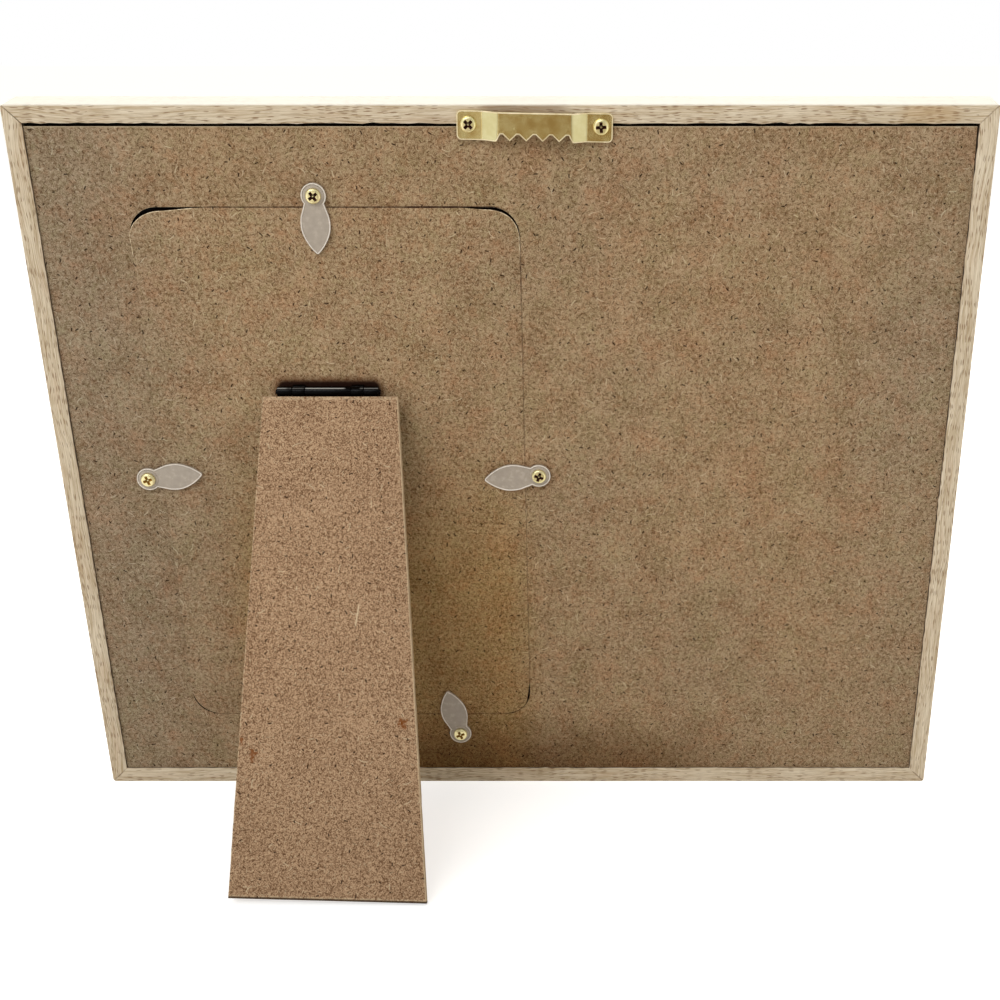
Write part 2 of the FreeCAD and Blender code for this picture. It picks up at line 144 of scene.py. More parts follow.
class HingeSizes(PropertyGroup):
    middle_x: length("Middle", "Sideways place of the hinge", 51.87)
    width: length("Width", "Width of the hinge", 29.4)
    end: length("End knuckles", "Length of the two outer knuckles", 4.4)
    narrow: length("Narrow knuckles", "Length of the leg leaf's knuckles", 3.6)
    gap: length("Knuckle gap", "Gap between two knuckles", 0.1)
    barrel: length("Barrel", "Radius of the knuckles", 1.6)
    pin: length("Pin", "Radius of the pin", 0.75)
    leaf: length("Leaf", "Thickness of the leaves", 0.8)
    drop: length("Leaf length", "How far the leaves reach below the pin", 12)
    corner: length("Leaf corner", "Corner rounding of the leaves", 2)
    door_back: length("Door leaf", "Depth of the door leaf's hidden face", 11.05)
    heel: length("Heel", "How far the stop heels stand over the knuckles", 0.12)


class ButtonSizes(PropertyGroup):
    ring: length("Ring", "Radius of the ring round the screw", 3.45)
    base: length("Base", "Height of the blade's underside over the panel", 0.45)
    thickness: length("Thickness", "Thickness of the blade", 0.95)
    rim: length("Rim", "Width of the raised rim", 0.36)
    rim_height: length("Rim height", "Height of the raised rim", 0.25)
    seat: length("Seat", "Radius of the seat under the screw", 2.9)
    head: length("Screw head", "Radius of the screw heads", 2.15)
    head_height: length("Head height", "Height of the screw heads", 1)
    cross: length("Cross", "Reach of the recess in the screw heads", 1.55)
    cross_width: length("Cross width", "Width of the recess's arms", 0.95)


class HangerSizes(PropertyGroup):
    length: length("Length", "Length of the hanger", 41.9)
    height: length("Height", "Height of the hanger", 7.75)
    thickness: length("Thickness", "Thickness of the strip", 0.7)
    rise: length("Rise", "How far the middle stands off the rail", 1.9)
    crest: length("Crest", "Half the length of the raised middle", 10.2)
    ramp: length("Ramp", "Length of each ramp", 3.6)
    corner: length("Corner", "Corner rounding", 1.3)
    pitch: length("Pitch", "Distance between notches", 4.42)
    notch: length("Notch", "Depth of a notch", 2)
    offset: length("Offset", "Sideways place of the hanger", 9.1)
    below_top: length("Below top", "From the top of the frame to the hanger's middle", 5.7)
    tilt: angle("Tilt", "How far from level the hanger was fixed", -1.16)
    screws: length("Screws", "Distance between the two screws", 35.6)
    screw_rise: length("Screw rise", "Height of the screws over the strip's middle", 0.3)


class Colours(PropertyGroup):
    oak_pale: colour("Oak, pale", "Wood between the grain lines", 223, 209, 186)
    oak_dark: colour("Oak, dark", "Grain lines", 176, 153, 120)
    oak_pore: colour("Oak, pores", "Open pores and the darkest grain", 122, 86, 50)
    board_light: colour("Hardboard, light", "Pale pulp of the back", 182, 157, 125)
    board_dark: colour("Hardboard, dark", "Dark pulp of the back", 113, 85, 56)
    leg_light: colour("Leg, light", "Pale pulp of the leg", 194, 162, 130)
    leg_dark: colour("Leg, dark", "Dark pulp of the leg", 104, 72, 48)
    fibre: colour("Fibre", "Pale fibres in the boards", 214, 194, 162)
    dart: colour("Dart", "Dark strokes in the boards", 84, 56, 34)
    speck: colour("Speck", "Dark specks in the boards", 36, 14, 4)
    # Painted shade: this dark colour is laid on the boards' sawn sides and on the strip just above the leg's
    # foot.
    sawn: colour("Sawn edge", "Dark sides of the sawn boards", 44, 30, 20)
    rust: colour("Stain", "Rusty stains on the leg", 118, 60, 8)
    plastic: colour("Button", "Clear plastic of the buttons", 176, 164, 151)
    # Painted highlight: the buttons' raised rims are painted paler than the rest.
    plastic_rim_highlight: colour("Button rim", "Edge of the buttons, where the light gathers", 230, 221, 211)
    brass: colour("Brass", "Plating of the hanger and the screws", 229, 219, 164)
    brass_dull: colour("Brass, dull", "Tarnish in the plating", 212, 190, 126)
    screw: colour("Screw", "Pale plating of the screw heads", 238, 224, 176)
    # Painted highlight: the hanger's bright edges are painted in this pale colour.
    wear_and_highlight: colour("Worn edge", "Bright edges of the hanger", 246, 232, 198)
    # Painted shade: the dark colour in the screws' recesses.
    recess: colour("Recess", "Grease in the screws' recesses", 66, 28, 12)
    enamel: colour("Enamel", "Black finish of the hinge", 3, 3, 3)
    steel: colour("Steel", "Heads of the corner nails", 150, 150, 152)
    card: colour("Card", "Face of the mat", 224, 219, 207)
    card_core: colour("Card core", "Cut slope of the mat's window", 250, 248, 242)
    paper: colour("Paper", "Blank print behind the mat", 196, 196, 192)


class StageLight(PropertyGroup):
    sky: share("Sky", "Strength of the even light from all round", 0.55)
    key: power("Key", "Power of the large lamp", 46.0)
    strip: power("Strip", "Power of the narrow lamp that draws the glints", 5.0)
    top: power("Top", "Power of the lamp overhead", 8.0)
    front: power("Front", "Power of the lamp on the glass side", 2.6)
    floor_glow: share("Floor glow", "White that the floor shows beside its own colour", 0.62)


def setting(group):
    return getattr(bpy.context.scene, "photo_frame_" + group)


def standing():
    """From the upright frame's place to where it stands."""
    size = setting("sizes")
    return (Matrix.Translation((0, -size.set_back, -size.drop))
            @ Matrix.Rotation(-size.lean, 4, "X") @ Matrix.Translation((0, -size.depth, 0)))


def leg_open():
    """From the folded leg's place to where the open leg stands."""
    leg = setting("leg")
    pin = Matrix.Translation((0, leg.axis_y, leg.axis_z))
    return standing() @ pin @ Matrix.Rotation(leg.opening, 4, "X") @ pin.inverted()


# ---------------------------------------------------------------- finishes


class Amount:
    """A shader socket that is added, multiplied and compared as a number is."""

    def __init__(self, recipe, socket):
        self.recipe, self.socket = recipe, socket

    def work(self, operation, *others):
        return self.recipe.add("Math", [self, *others], operation=operation)

    __add__ = __radd__ = partialmethod(work, "ADD")
    __mul__ = __rmul__ = partialmethod(work, "MULTIPLY")
    __sub__ = partialmethod(work, "SUBTRACT")
    __truediv__ = partialmethod(work, "DIVIDE")
    __lt__ = partialmethod(work, "LESS_THAN")
    __gt__ = partialmethod(work, "GREATER_THAN")
    __abs__ = partialmethod(work, "ABSOLUTE")
    least = partialmethod(work, "MINIMUM")
    most = partialmethod(work, "MAXIMUM")

    def __rsub__(self, other):
        return self.recipe.add("Math", [other, self], operation="SUBTRACT")

    def spread(self, low, high):
        """0 at low and 1 at high, with a soft start and end."""
        return self.recipe.add("MapRange", {"Value": self, "From Min": low, "From Max": high},
                               interpolation_type="SMOOTHSTEP")


class Recipe:
    """A material, made node by node. Lengths in it are millimetres."""

    def __init__(self, name, world=None):
        self.material = world or bpy.data.materials.new(name)
        self.material.use_nodes = True
        self.tree = self.material.node_tree
        self.tree.nodes.clear()

    def node(self, kind, inputs=(), **settings):
        made = self.tree.nodes.new("ShaderNode" + kind)
        for name, value in settings.items():
            setattr(made, name, value)
        for key, value in inputs.items() if isinstance(inputs, dict) else enumerate(inputs):
            value = value.socket if isinstance(value, Amount) else value
            if isinstance(value, bpy.types.NodeSocket):
                self.tree.links.new(value, made.inputs[key])
            else:
                made.inputs[key].default_value = value
        return made

    def add(self, kind, inputs=(), output=0, **settings):
        return Amount(self, self.node(kind, inputs, **settings).outputs[output])

    def parts(self, vector):
        return [Amount(self, socket) for socket in self.node("SeparateXYZ", [vector]).outputs]

    def place(self, stood=None):
        """Sideways, depth and height, before the piece was stood in its place."""
        back = (stood or Matrix.Identity(4)).inverted()
        self.spot = self.parts(self.add("Mapping", {
            "Vector": self.add("TexCoord", output="Object"), "Location": back.translation / MM,
            "Rotation": back.to_euler(), "Scale": (1 / MM, 1 / MM, 1 / MM)}))
        return self.spot

    def vector(self, x, y, z=0):
        return self.add("CombineXYZ", [x, y, z])

    def cloud(self, size, detail=2, roughness=0.5, shift=(0, 0, 0), spot=None):
        """Soft uneven patches of this size, or of one size along each axis, from 0 to 1."""
        sizes = size if isinstance(size, tuple) else (size,) * 3
        spot = [part / wide + off if off else part / wide
                for part, wide, off in zip(spot or self.spot, sizes, shift)]
        return self.add("TexNoise", {
            "Vector": self.vector(*spot), "Scale": 1, "Detail": detail, "Roughness": roughness})

    def blend(self, mask, below, above):
        below, above = [c if isinstance(c, Amount) else (*c, 1) for c in (below, above)]
        return self.add("Mix", {0: mask, 6: below, 7: above}, 2, data_type="RGBA")

    def coats(self, surface, *coats):
        """Lay colours over a surface, each where its mask is 1."""
        for mask, tint in coats:
            surface = self.blend(mask, surface, tint)
        return surface

    def stains(self, surface, *stains):
        """Multiply a surface by ratios for red, green and blue, each where its mask is 1."""
        for mask, *ratio in stains:
            surface = self.add("Mix", {0: mask, 6: surface, 7: (*ratio, 1)}, 2, data_type="RGBA",
                               blend_type="MULTIPLY")
        return surface

    def cells(self, across, up):
        """Uneven flat cells, about one to a unit."""
        return self.node("TexVoronoi", {"Vector": self.vector(across, up), "Scale": 1},
                         voronoi_dimensions="2D")

    def strands(self, across, up, start, cell, long, wide, share, bend):
        """Short strands laid every way, no more than one to a cell: 1 on a strand, 0 beside it."""
        x, z = across / cell + start, up / cell - start
        cells = self.cells(x, z)
        turn, lot, tint = self.parts(cells.outputs["Color"])
        near = self.parts(cells.outputs["Position"])
        dx, dz, turn = x - near[0], z - near[1], turn * math.tau
        cos, sin = turn.work("COSINE"), turn.work("SINE")
        along, aside = dx * cos + dz * sin, dz * cos - dx * sin
        aside = aside + along * along * (tint - 0.5) * bend
        half = (tint * 0.6 + 0.4) * (long / cell / 2)
        body = (1 - abs(along) / half).spread(0, 0.45)
        return body * (1 - abs(aside) * (2 * cell / wide)).spread(0, 0.7) * (lot < share)

    def rays(self, *kinds):
        """1 for rays of the kinds that are named, and 0 for all others."""
        path = self.node("LightPath")
        first, *others = [Amount(self, path.outputs["Is %s Ray" % kind]) for kind in kinds]
        for other in others:
            first = first.most(other)
        return first

    def bump(self, height, distance, strength=1):
        return self.add("Bump", {"Height": height, "Distance": distance, "Strength": strength})

    def finish(self, surface, roughness, specular=0.5, **others):
        shader = self.node("BsdfPrincipled", {"Base Color": surface, "Roughness": roughness,
                                              "Specular IOR Level": specular, **others})
        self.node("OutputMaterial", {"Surface": shader.outputs[0]})
        return self.material


def round_box(x, z, middle_x, middle_z, width, height, corner):
    """How far outside a rounded rectangle a point is; inside it is below zero."""
    reach_x = abs(x - middle_x) - (width / 2 - corner)
    reach_z = abs(z - middle_z) - (height / 2 - corner)
    out_x, out_z = reach_x.most(0), reach_z.most(0)
    return (out_x * out_x + out_z * out_z).work("SQRT") + reach_x.most(reach_z).least(0) - corner


# The strands of the boards in the order they are laid: where their cells start, the cells' size, the
# strands' length, width, share of the cells and bend, how much they cover, and their colour.
STRANDS = {
    "darts": (7.7, 1.5, 1.4, 0.44, 0.7, 1, 0.72, "dart"),
    "ticks": (3.1, 2, 1.6, 0.38, 0.6, 2, 0.36, "fibre"),
    "fibres": (1.3, 6, 3.4, 0.4, 0.28, 3, 0.6, "fibre"),
    "hairs": (5.9, 27, 12, 0.3, 0.16, 4, 0.42, "fibre"),
    "specks": (9.2, 4, 1.5, 0.55, 0.36, 1, 0.92, "speck"),
}


def pulp(board, light, dark, start, cloudy):
    """The felted surface of hardboard: mottled pulp with fibres and specks. Gives colour and height."""
    x, y, z = board.spot
    x, z = x + y * 0.4 + start * 31, z + y * 0.7 - start * 17
    grain, felt, patch = [board.cloud(*values, spot=(x, y, z)) for values in (
        (0.31, 2, 0.6), (1, 3, 0.6), (11, 3, 0.55))]
    mix = grain * (2 - cloudy) + felt * cloudy + patch * cloudy * 0.4 - (0.5 + cloudy * 0.2)
    surface = board.blend(mix.spread(0.14, 0.82), dark, light)
    laid = {}
    for name, (begin, *shape, cover, tint) in STRANDS.items():
        laid[name] = board.strands(x, z, start + begin, *shape)
        surface = board.blend(laid[name] * cover, surface, getattr(setting("colours"), tint))
    return surface, (grain + felt * 0.6 + laid["fibres"] * 0.5 + laid["hairs"] * 0.4
                     - laid["darts"] * 0.3)


def board_end(board, surface, height):
    return board.finish(surface, 0.86, 0.08, Normal=board.bump(height, 0.00012, 0.55))


def back_board_finish():
    """Brown hardboard of the panel and the door, with painted shade: a dark line along the cut between them,
    a shadow over the hinge, a warmer tint where the leg shades the board and darker along the bottom.
    """
    board = Recipe("brown_hardboard")
    tints, size, hinge = setting("colours"), setting("boards"), setting("hinge")
    x, y, z = board.place(standing())
    surface, height = pulp(board, tints.board_light, tints.board_dark, 0, 0.85)
    drift = board.cloud(13, 3, 0.55, (3, 0, 0))
    fleck = board.cloud(2.4, 3, 0.7, (9, 0, 0))
    grey = board.cloud(60, shift=(0, 0, 4)).spread(0.42, 0.7)
    ends = x.spread(76, 124).most(x.spread(-84, -128) * 0.5)
    # Painted shade: a warmer, browner tint on the board where the leg shades it.
    leg_shadow_tint = x.spread(-12, 4) * z.spread(130, 70) * x.spread(92, 74)
    # Painted shade: darker along the bottom middle of the panel, under the leg.
    low = z.spread(30, 6) * (x.spread(75, 35) * x.spread(-85, -30))
    surface = board.stains(
        surface,
        (drift.spread(0.5, 0.7) * 0.7, 1.03, 0.92, 0.88), (drift.spread(0.5, 0.3) * 0.6, 0.93, 0.98, 0.92),
        (fleck.spread(0.5, 0.66) * 0.7, 1.01, 0.88, 0.82), (fleck.spread(0.48, 0.34) * 0.6, 0.92, 0.97, 0.88),
        ((grey * 0.3 + ends).least(1), 0.85, 0.92, 1.04), (leg_shadow_tint, 1, 0.92, 0.7),
        (low, 0.52, 0.45, 0.38))
    # Painted shadow over the hinge: dark brown, near-black right against its knuckles.
    hinge_shadow = round_box(x, z, hinge.middle_x / MM, setting("leg").axis_z / MM, hinge.width / MM, 5.2, 2)
    cut = abs(round_box(x, z, *(part / MM for part in (
        size.middle_x, size.middle_z, size.opening_width, size.opening_height, size.opening_corner))))
    rough = board.cloud(2, shift=(0, 0, 11)).spread(0.35, 0.65)
    aside, high = x - size.middle_x / MM, z.spread(176, 186)
    tight = 1 - high * aside.spread(24, 44).most(aside.spread(-46, -52))
    shut = x.spread(0, -2) * z.spread(172, 160)
    # Painted shade: a dark line along the cut round the door; fainter where the top corners gape and low on
    # the door's right side, missing on its left side, stronger along the right part of the top.
    line = cut.spread(0.28, 0.1) * tight * (0.25 + rough * 0.5) * x.spread(98, 84) * (1 - shut * 0.7)
    line = line + cut.spread(0.34, 0.14) * tight * high * x.spread(40, 20) * 0.5
    surface = board.coats(
        surface,
        (hinge_shadow.spread(2.4, 0.2) * 0.6, tone(84, 44, 18)), (hinge_shadow.spread(0.8, -0.6) * 0.95, tone(24, 4, 2)),
        (line.least(1), tone(62, 36, 26)), (z.spread(210.8, 210.95) * (0.4 + rough * 0.25), tints.fibre))
    return board_end(board, surface, height)


def leg_board_finish():
    """Lighter, pinker hardboard of the leg, with a few rusty stains near its foot and a painted contact
    shadow along the foot.
    """
    board = Recipe("leg_hardboard")
    tints, leg = setting("colours"), setting("leg")
    x, y, z = board.place(leg_open())
    surface, height = pulp(board, tints.leg_light, tints.leg_dark, 6.4, 0.45)
    for stain_x, stain_z, wide in ((29.3, 41, 2), (75, 36.2, 1.2), (71.4, 31.9, 2)):
        reach = (round_box(x, z, stain_x, stain_z, wide, wide * 1.5, wide / 2)
                 + board.cloud(0.9, 3, 0.7, (0, 0, stain_x)) * 5.6)
        surface = board.blend(reach.spread(3.2, 2.2) * 0.8, surface, tints.rust)
    surface = board.stains(surface, (z.spread(80, -10), 0.86, 0.86, 0.86))
    foot, foot_x = leg.foot / MM, (leg.middle_x - leg.skew) / MM
    up = (z - foot) / ((leg.top - leg.foot) / MM)
    half = leg.foot_width / 2 / MM - up * ((leg.foot_width - leg.top_width) / 2 / MM)
    aside = x - foot_x - up * (leg.skew / MM)
    wear_and_highlight = board.cloud(0.8, shift=(0, 0, 5))
    right = (half + aside).spread(0.45, 0.12) * 0.62
    left = (half - aside).spread(0.4, 0.1) * wear_and_highlight.spread(0.45, 0.6) * 0.6
    above_foot = z - foot - (x - (foot_x - leg.foot_width / 2 / MM)) * (leg.foot_slope / leg.foot_width)
    ends = above_foot.least(leg.top / MM - z).spread(1.2, 0.8) * wear_and_highlight.spread(0.35, 0.6) * 0.4
    hair = (abs((x - 42.4) + (z - 71.5) * 0.16).spread(0.32, 0.08)
            * abs(z - 71.5).spread(3.6, 2.6))
    # Painted contact shadow: the strip just above the foot is darkened with the sawn colour.
    surface = board.coats(surface, (right.most(left).most(ends), tints.fibre),
                          (above_foot.spread(0.7, 0.5) * 0.85, tints.sawn), (hair * 0.75, tints.fibre))
    return board_end(board, surface, height)


def edge_shade_finish():
    """The sawn sides of the boards, painted near-black: painted shade, so the gaps round the door look dark.
    """
    sawn = Recipe("sawn_board_edge")
    sawn.place()
    tint = setting("colours").sawn
    return sawn.finish(sawn.blend(sawn.cloud(0.5).spread(0.3, 0.7), 0.6 * tint, tint), 0.9, 0.1)


def recess_shade_finish():
    """Painted shade in the screws' recesses: dark brown, lighter and brass-coloured in two of them."""
    recess = Recipe("screw_recess")
    x, y, z = recess.place(standing())
    dust = recess.cloud(0.5).spread(0.3, 0.7)
    recess_shade = setting("colours").recess
    lighter_share = x.spread(85, 90).most(z.spread(40, 35)) * (0.5 + dust * 0.4)
    return recess.finish(recess.blend(lighter_share, recess.blend(dust, 0.5 * recess_shade, recess_shade), tone(190, 144, 58)),
                         0.8, 0.2)


def fuzz_finish():
    """Pale torn fibres along the gaping cut."""
    fuzz = Recipe("torn_pulp_edge")
    fuzz.place()
    torn = fuzz.cloud(0.9).spread(0.4, 0.6)
    return fuzz.finish(fuzz.blend(torn, setting("colours").board_light, tone(236, 218, 186)), 0.9, 0.2)


def oak_finish(name, upright, start):
    """Pale open-grained oak, its grain along the rail."""
    wood = Recipe(name)
    tints, size = setting("colours"), setting("sizes")
    x, y, z = wood.place(standing())
    along, across = (z, x) if upright else (x, z)
    along, across = along + start * 53, across + start * 7
    straight = (along, across, y)
    line = across + wood.cloud((34, 16, 16), spot=straight) * 5
    wavy = (along, line, y)
    fine = wood.cloud((8, 0.27, 0.27), 3, 0.65, spot=wavy)
    band = wood.cloud((60, 2.2, 2.2), spot=wavy)
    figure = wood.cloud((22, 5, 5), shift=(0, 7, 0), spot=straight)
    mask = (fine * 1.4 + band * 0.35 + figure * 0.3 - 0.52).spread(0.22, 0.86)
    blush = wood.cloud((17, 3, 3), shift=(0, 5, 0), spot=wavy).spread(0.5, 0.75)
    streak = wood.cloud((6.5, 0.32, 0.32), 3, 0.6, (0, 9, 0), wavy).spread(0.56, 0.66)
    silver = wood.cloud((6, 0.3, 0.3), shift=(0, -6, 0), spot=wavy).spread(0.58, 0.7)
    pores = wood.cells(along / 3.4, (line + y * 0.8) / 0.38)
    lot = wood.parts(pores.outputs["Color"])[0]
    pore = (Amount(wood, pores.outputs["Distance"]).spread(0.36, 0.16)
            * (lot < figure.spread(0.35, 0.75) * 0.5 + 0.16))
    mitre = abs(size.width / 2 / MM - abs(x) - z.least(size.height / MM - z))
    glue = mitre.spread(0.45, 0.1) * wood.cloud(3).spread(0.3, 0.6)
    surface = wood.coats(
        wood.blend(mask, tints.oak_pale, tints.oak_dark),
        (blush * 0.2, tone(190, 154, 120)), (streak * 0.45, tints.oak_pore),
        (silver * 0.4, tone(240, 228, 208)), (pore * 0.7, tints.oak_pore), (glue * 0.5, tone(112, 76, 46)))
    if not upright:
        heart = round_box(x, z, -6, 217, 20, 3, 1.5) + fine * 7
        warm = round_box(x, z, -115, 214.6, 12, 2.4, 1) + fine * 6
        surface = wood.coats(
            surface, (heart.spread(7.5, 1.5) * 0.6, tone(136, 106, 80)),
            (warm.spread(7, 2) * 0.35, tone(182, 144, 92)),
            # Painted highlight: the top face of the top rail is painted near-white, where the light from
            # above falls.
            (z.spread(216.45, 216.95) * 0.8, tone(251, 247, 238)))
    rabbet = round_box(x, z, 0, size.height / 2 / MM, 257.5, 207.5, 0.01).spread(0.1, -0.1)
    shade = rabbet * (y > 5) * y.spread(11.25, 10.95) * 0.85
    height = fine * 0.6 - pore * 1.2 + wood.cloud((2, 0.3, 0.3), spot=straight) * 0.5
    return wood.finish(wood.blend(shade, surface, tone(48, 28, 18)), 0.72, 0.3,
                       Normal=wood.bump(height, 0.0001, 0.5))


def plastic_finish(name, tint):
    plastic = Recipe(name)
    plastic.place()
    haze = plastic.cloud(1.6, 3)
    return plastic.finish(plastic.blend(haze.spread(0.3, 0.7), 0.88 * tint, tint), haze * 0.12 + 0.2,
                          Normal=plastic.bump(haze, 0.00003, 0.3))


def brass_finish(name, bright, dull, roughness, metallic=1):
    brass = Recipe(name)
    brass.place(standing())
    mottle, scratch = brass.cloud(3, 4, 0.6), brass.cloud((6, 0.2, 0.16))
    return brass.finish(brass.blend(mottle.spread(0.3, 0.75), dull, bright), mottle * 0.16 + roughness,
                        Metallic=metallic, Normal=brass.bump(mottle * 0.4 + scratch * 0.4, 0.00003, 0.3))


def enamel_finish():
    """Black enamel, with a painted highlight line along the knuckles' crest, stronger over some knuckles than
    others.
    """
    enamel = Recipe("black_enamel")
    leg = setting("leg")
    x, y, z = enamel.place(standing())
    peel = enamel.cloud(0.9)
    # Painted highlight: a thin pale line along the knuckles' crest, stronger over some knuckles than others.
    crest = (y - leg.axis_y / MM) * 0.5 + (z - leg.axis_z / MM) * 0.866
    lighter_share = (x.spread(46.4, 47.6) * x.spread(59, 57.6) * 0.95 + x.spread(63, 64.4) * 0.7
            + x.spread(57.6, 59.4) * x.spread(64, 62.6) * 0.25 + x.spread(43, 41.8) * 0.4)
    highlight_line = crest.spread(1.575, 1.592) * crest.spread(1.8, 1.75) * lighter_share
    return enamel.finish(enamel.blend(highlight_line, setting("colours").enamel, tone(158, 158, 154)),
                         peel * 0.08 + 0.2, 0.07, Normal=enamel.bump(peel, 0.00002, 0.2))


def steel_finish():
    steel = Recipe("nail_steel")
    steel.place()
    dull, tint = steel.cloud(0.6, 3), setting("colours").steel
    return steel.finish(steel.blend(dull, 0.45 * tint, tint), dull * 0.3 + 0.3, Metallic=1)


def glass_finish():
    """Clear glass that lets the light on the mat through."""
    glass = Recipe("picture_glass")
    glass.place(standing())
    clear = glass.node("BsdfTransparent", {"Color": (0.97, 0.985, 0.975, 1)})
    pane = glass.node("BsdfPrincipled", {
        "Base Color": (0.985, 0.995, 0.99, 1), "Transmission Weight": 1, "IOR": 1.45,
        "Roughness": glass.cloud(7, 4).spread(0.4, 0.9) * 0.02})
    both = glass.node("MixShader", [glass.rays("Shadow"), pane.outputs[0], clear.outputs[0]])
    glass.node("OutputMaterial", {"Surface": both.outputs[0]})
    return glass.material


def card_finish():
    """Off-white card, its cut slope whiter than its face and its hidden back painted near-black: painted
    shade seen through the gaps round the door.
    """
    card = Recipe("mat_card")
    tints, size = setting("colours"), setting("boards")
    x, y, z = card.place(standing())
    tooth = card.cloud(0.5, 3, 0.7)
    slope = round_box(x, z, size.middle_x / MM, size.middle_z / MM, 98.6, 149.4, 0.01).spread(0.1, -0.1)
    # The back of the card, behind 7.72 mm, is painted near-black: painted shade seen through the gaps round
    # the door.
    surface = card.coats(card.blend(tooth, 0.94 * tints.card, tints.card),
                         (slope, tints.card_core), (y > 7.72, tone(16, 14, 12)))
    return card.finish(surface, 0.9, Normal=card.bump(tooth, 0.00006, 0.4))


def paper_finish():
    """A blank satin print, with the faint unevenness of coated paper."""
    paper = Recipe("blank_print")
    tint = setting("colours").paper
    x, y, z = paper.place(standing())
    coat = paper.cloud(2.5, 3)
    return paper.finish(paper.blend(z.spread(30, 190), 0.86 * tint, tint), coat * 0.15 + 0.3,
                        Normal=paper.bump(coat, 0.00002, 0.2))


# ---------------------------------------------------------------- the bench


def put_down():
    """Leave the piece in hand and select nothing."""
    if bpy.context.mode != "OBJECT":
        bpy.ops.object.mode_set(mode="OBJECT")
    bpy.ops.object.select_all(action="DESELECT")


def take(piece, mode="OBJECT"):
    """Take one piece in hand; in EDIT mode its corners, edges and faces can be worked on."""
    put_down()
    piece.select_set(True)
    bpy.context.view_layer.objects.active = piece
    bpy.ops.object.mode_set(mode=mode)


def settle(piece, matrix=None):
    """Move a piece, and work its place, turn and size into its mesh."""
    take(piece)
    if matrix is not None:
        piece.matrix_world = matrix
    bpy.ops.object.transform_apply(location=True, rotation=True, scale=True)


def started(name):
    """Name what was just added, settle it and open it for editing."""
    piece = bpy.context.object
    piece.name = piece.data.name = name
    settle(piece)
    take(piece, "EDIT")
    return piece


def block(name, low, high):
    put_down()
    low, high = Vector(low), Vector(high)
    bpy.ops.mesh.primitive_cube_add(size=1, location=(low + high) / 2, scale=high - low)
    return started(name)


def rod(name, radius, depth, place, turn=(0, math.pi / 2, 0), vertices=40, edge=0, segments=3):
    """A round rod with softened ends, lying sideways unless it is given another turn."""
    put_down()
    bpy.ops.mesh.primitive_cylinder_add(vertices=vertices, radius=radius, depth=depth, location=place,
                                        rotation=turn)
    piece = started(name)
    if edge:
        pick("EDGE", sharp)
        soften(edge, segments)
    return piece


def copied(piece, name, matrix=None):
    take(piece)
    bpy.ops.object.duplicate(linked=False)
    twin = bpy.context.object
    twin.name = twin.data.name = name
    settle(twin, matrix)
    return twin


def thrown_away(*pieces):
    for piece in pieces:
        take(piece)
        bpy.ops.object.delete()


def pick(kind, test):
    """Select the corners, edges or faces that pass the test, and nothing else."""
    bpy.ops.mesh.select_mode(type=kind)
    bpy.ops.mesh.select_all(action="DESELECT")
    data = bpy.context.edit_object.data
    mesh = bmesh.from_edit_mesh(data)
    for item in {"VERT": mesh.verts, "EDGE": mesh.edges, "FACE": mesh.faces}[kind]:
        if test(item):
            item.select_set(True)
    bmesh.update_edit_mesh(data)


def pick_rim(test, degrees=50.0):
    """Select the sharp edges whose two ends pass the test."""
    pick("EDGE", lambda edge: sharp(edge, degrees) and all(test(v.co) for v in edge.verts))


def close(value, *others, room=NEAR):
    """True if a value lies within this room of one of the others."""
    return min(abs(value - other) for other in others) < room


def middle(item):
    return sum((v.co for v in item.verts), Vector()) / len(item.verts)


def along(edge, axis):
    """True for an edge that runs along axis 0, 1 or 2."""
    line = edge.verts[1].co - edge.verts[0].co
    return abs(line[axis]) > 0.999 * line.length


def reach(edge, axis):
    """How far an edge goes along axis 0, 1 or 2."""
    return abs(edge.verts[0].co[axis] - edge.verts[1].co[axis])


def sharp(edge, degrees=50.0):
    return edge.calc_face_angle(0) > math.radians(degrees)


def pull(*move):
    bpy.ops.transform.translate(value=move)


def nudge(room, *move):
    """Move what is selected and, less and less, what lies within this room of it."""
    bpy.ops.transform.translate(value=move, use_proportional_edit=True, proportional_size=room,
                                proportional_edit_falloff="SMOOTH")


def extrude(*move):
    bpy.ops.mesh.extrude_region_move(TRANSFORM_OT_translate={"value": move})


def soften(offset, segments=3):
    bpy.ops.mesh.bevel(offset=offset, segments=segments, affect="EDGES", clamp_overlap=True)


def saw(point, normal, **options):
    bpy.ops.mesh.select_all(action="SELECT")
    bpy.ops.mesh.bisect(plane_co=point, plane_no=normal, threshold=NEAR / 10, **options)


def wobble(piece, test, axis, amount, size):
    """Push the corners that pass the test to and fro, as an uneven saw cut does."""
    take(piece)
    group = piece.vertex_groups.new(name="wobble")
    group.add([v.index for v in piece.data.vertices if test(v.co)], 1.0, "REPLACE")
    texture = bpy.data.textures.new(piece.name + "_wobble", "CLOUDS")
    texture.noise_scale, texture.noise_depth = size, 2
    modifier = piece.modifiers.new("wobble", "DISPLACE")
    modifier.texture, modifier.vertex_group, modifier.direction = texture, group.name, axis
    modifier.strength, modifier.mid_level = amount, 0.5
    bpy.ops.object.modifier_apply(modifier=modifier.name)
    piece.vertex_groups.clear()
    take(piece, "EDIT")


def combine(piece, other, operation="DIFFERENCE"):
    """Cut the other piece away from this one, or weld it on with UNION."""
    take(piece)
    modifier = piece.modifiers.new("combine", "BOOLEAN")
    modifier.object, modifier.operation, modifier.solver = other, operation, "EXACT"
    bpy.ops.object.modifier_apply(modifier=modifier.name)
    thrown_away(other)
    take(piece, "EDIT")


def paint(piece, index, test):
    """Give the faces that pass the test one of the piece's finishes."""
    pick("FACE", test)
    piece.active_material_index = index
    bpy.ops.object.material_slot_assign()


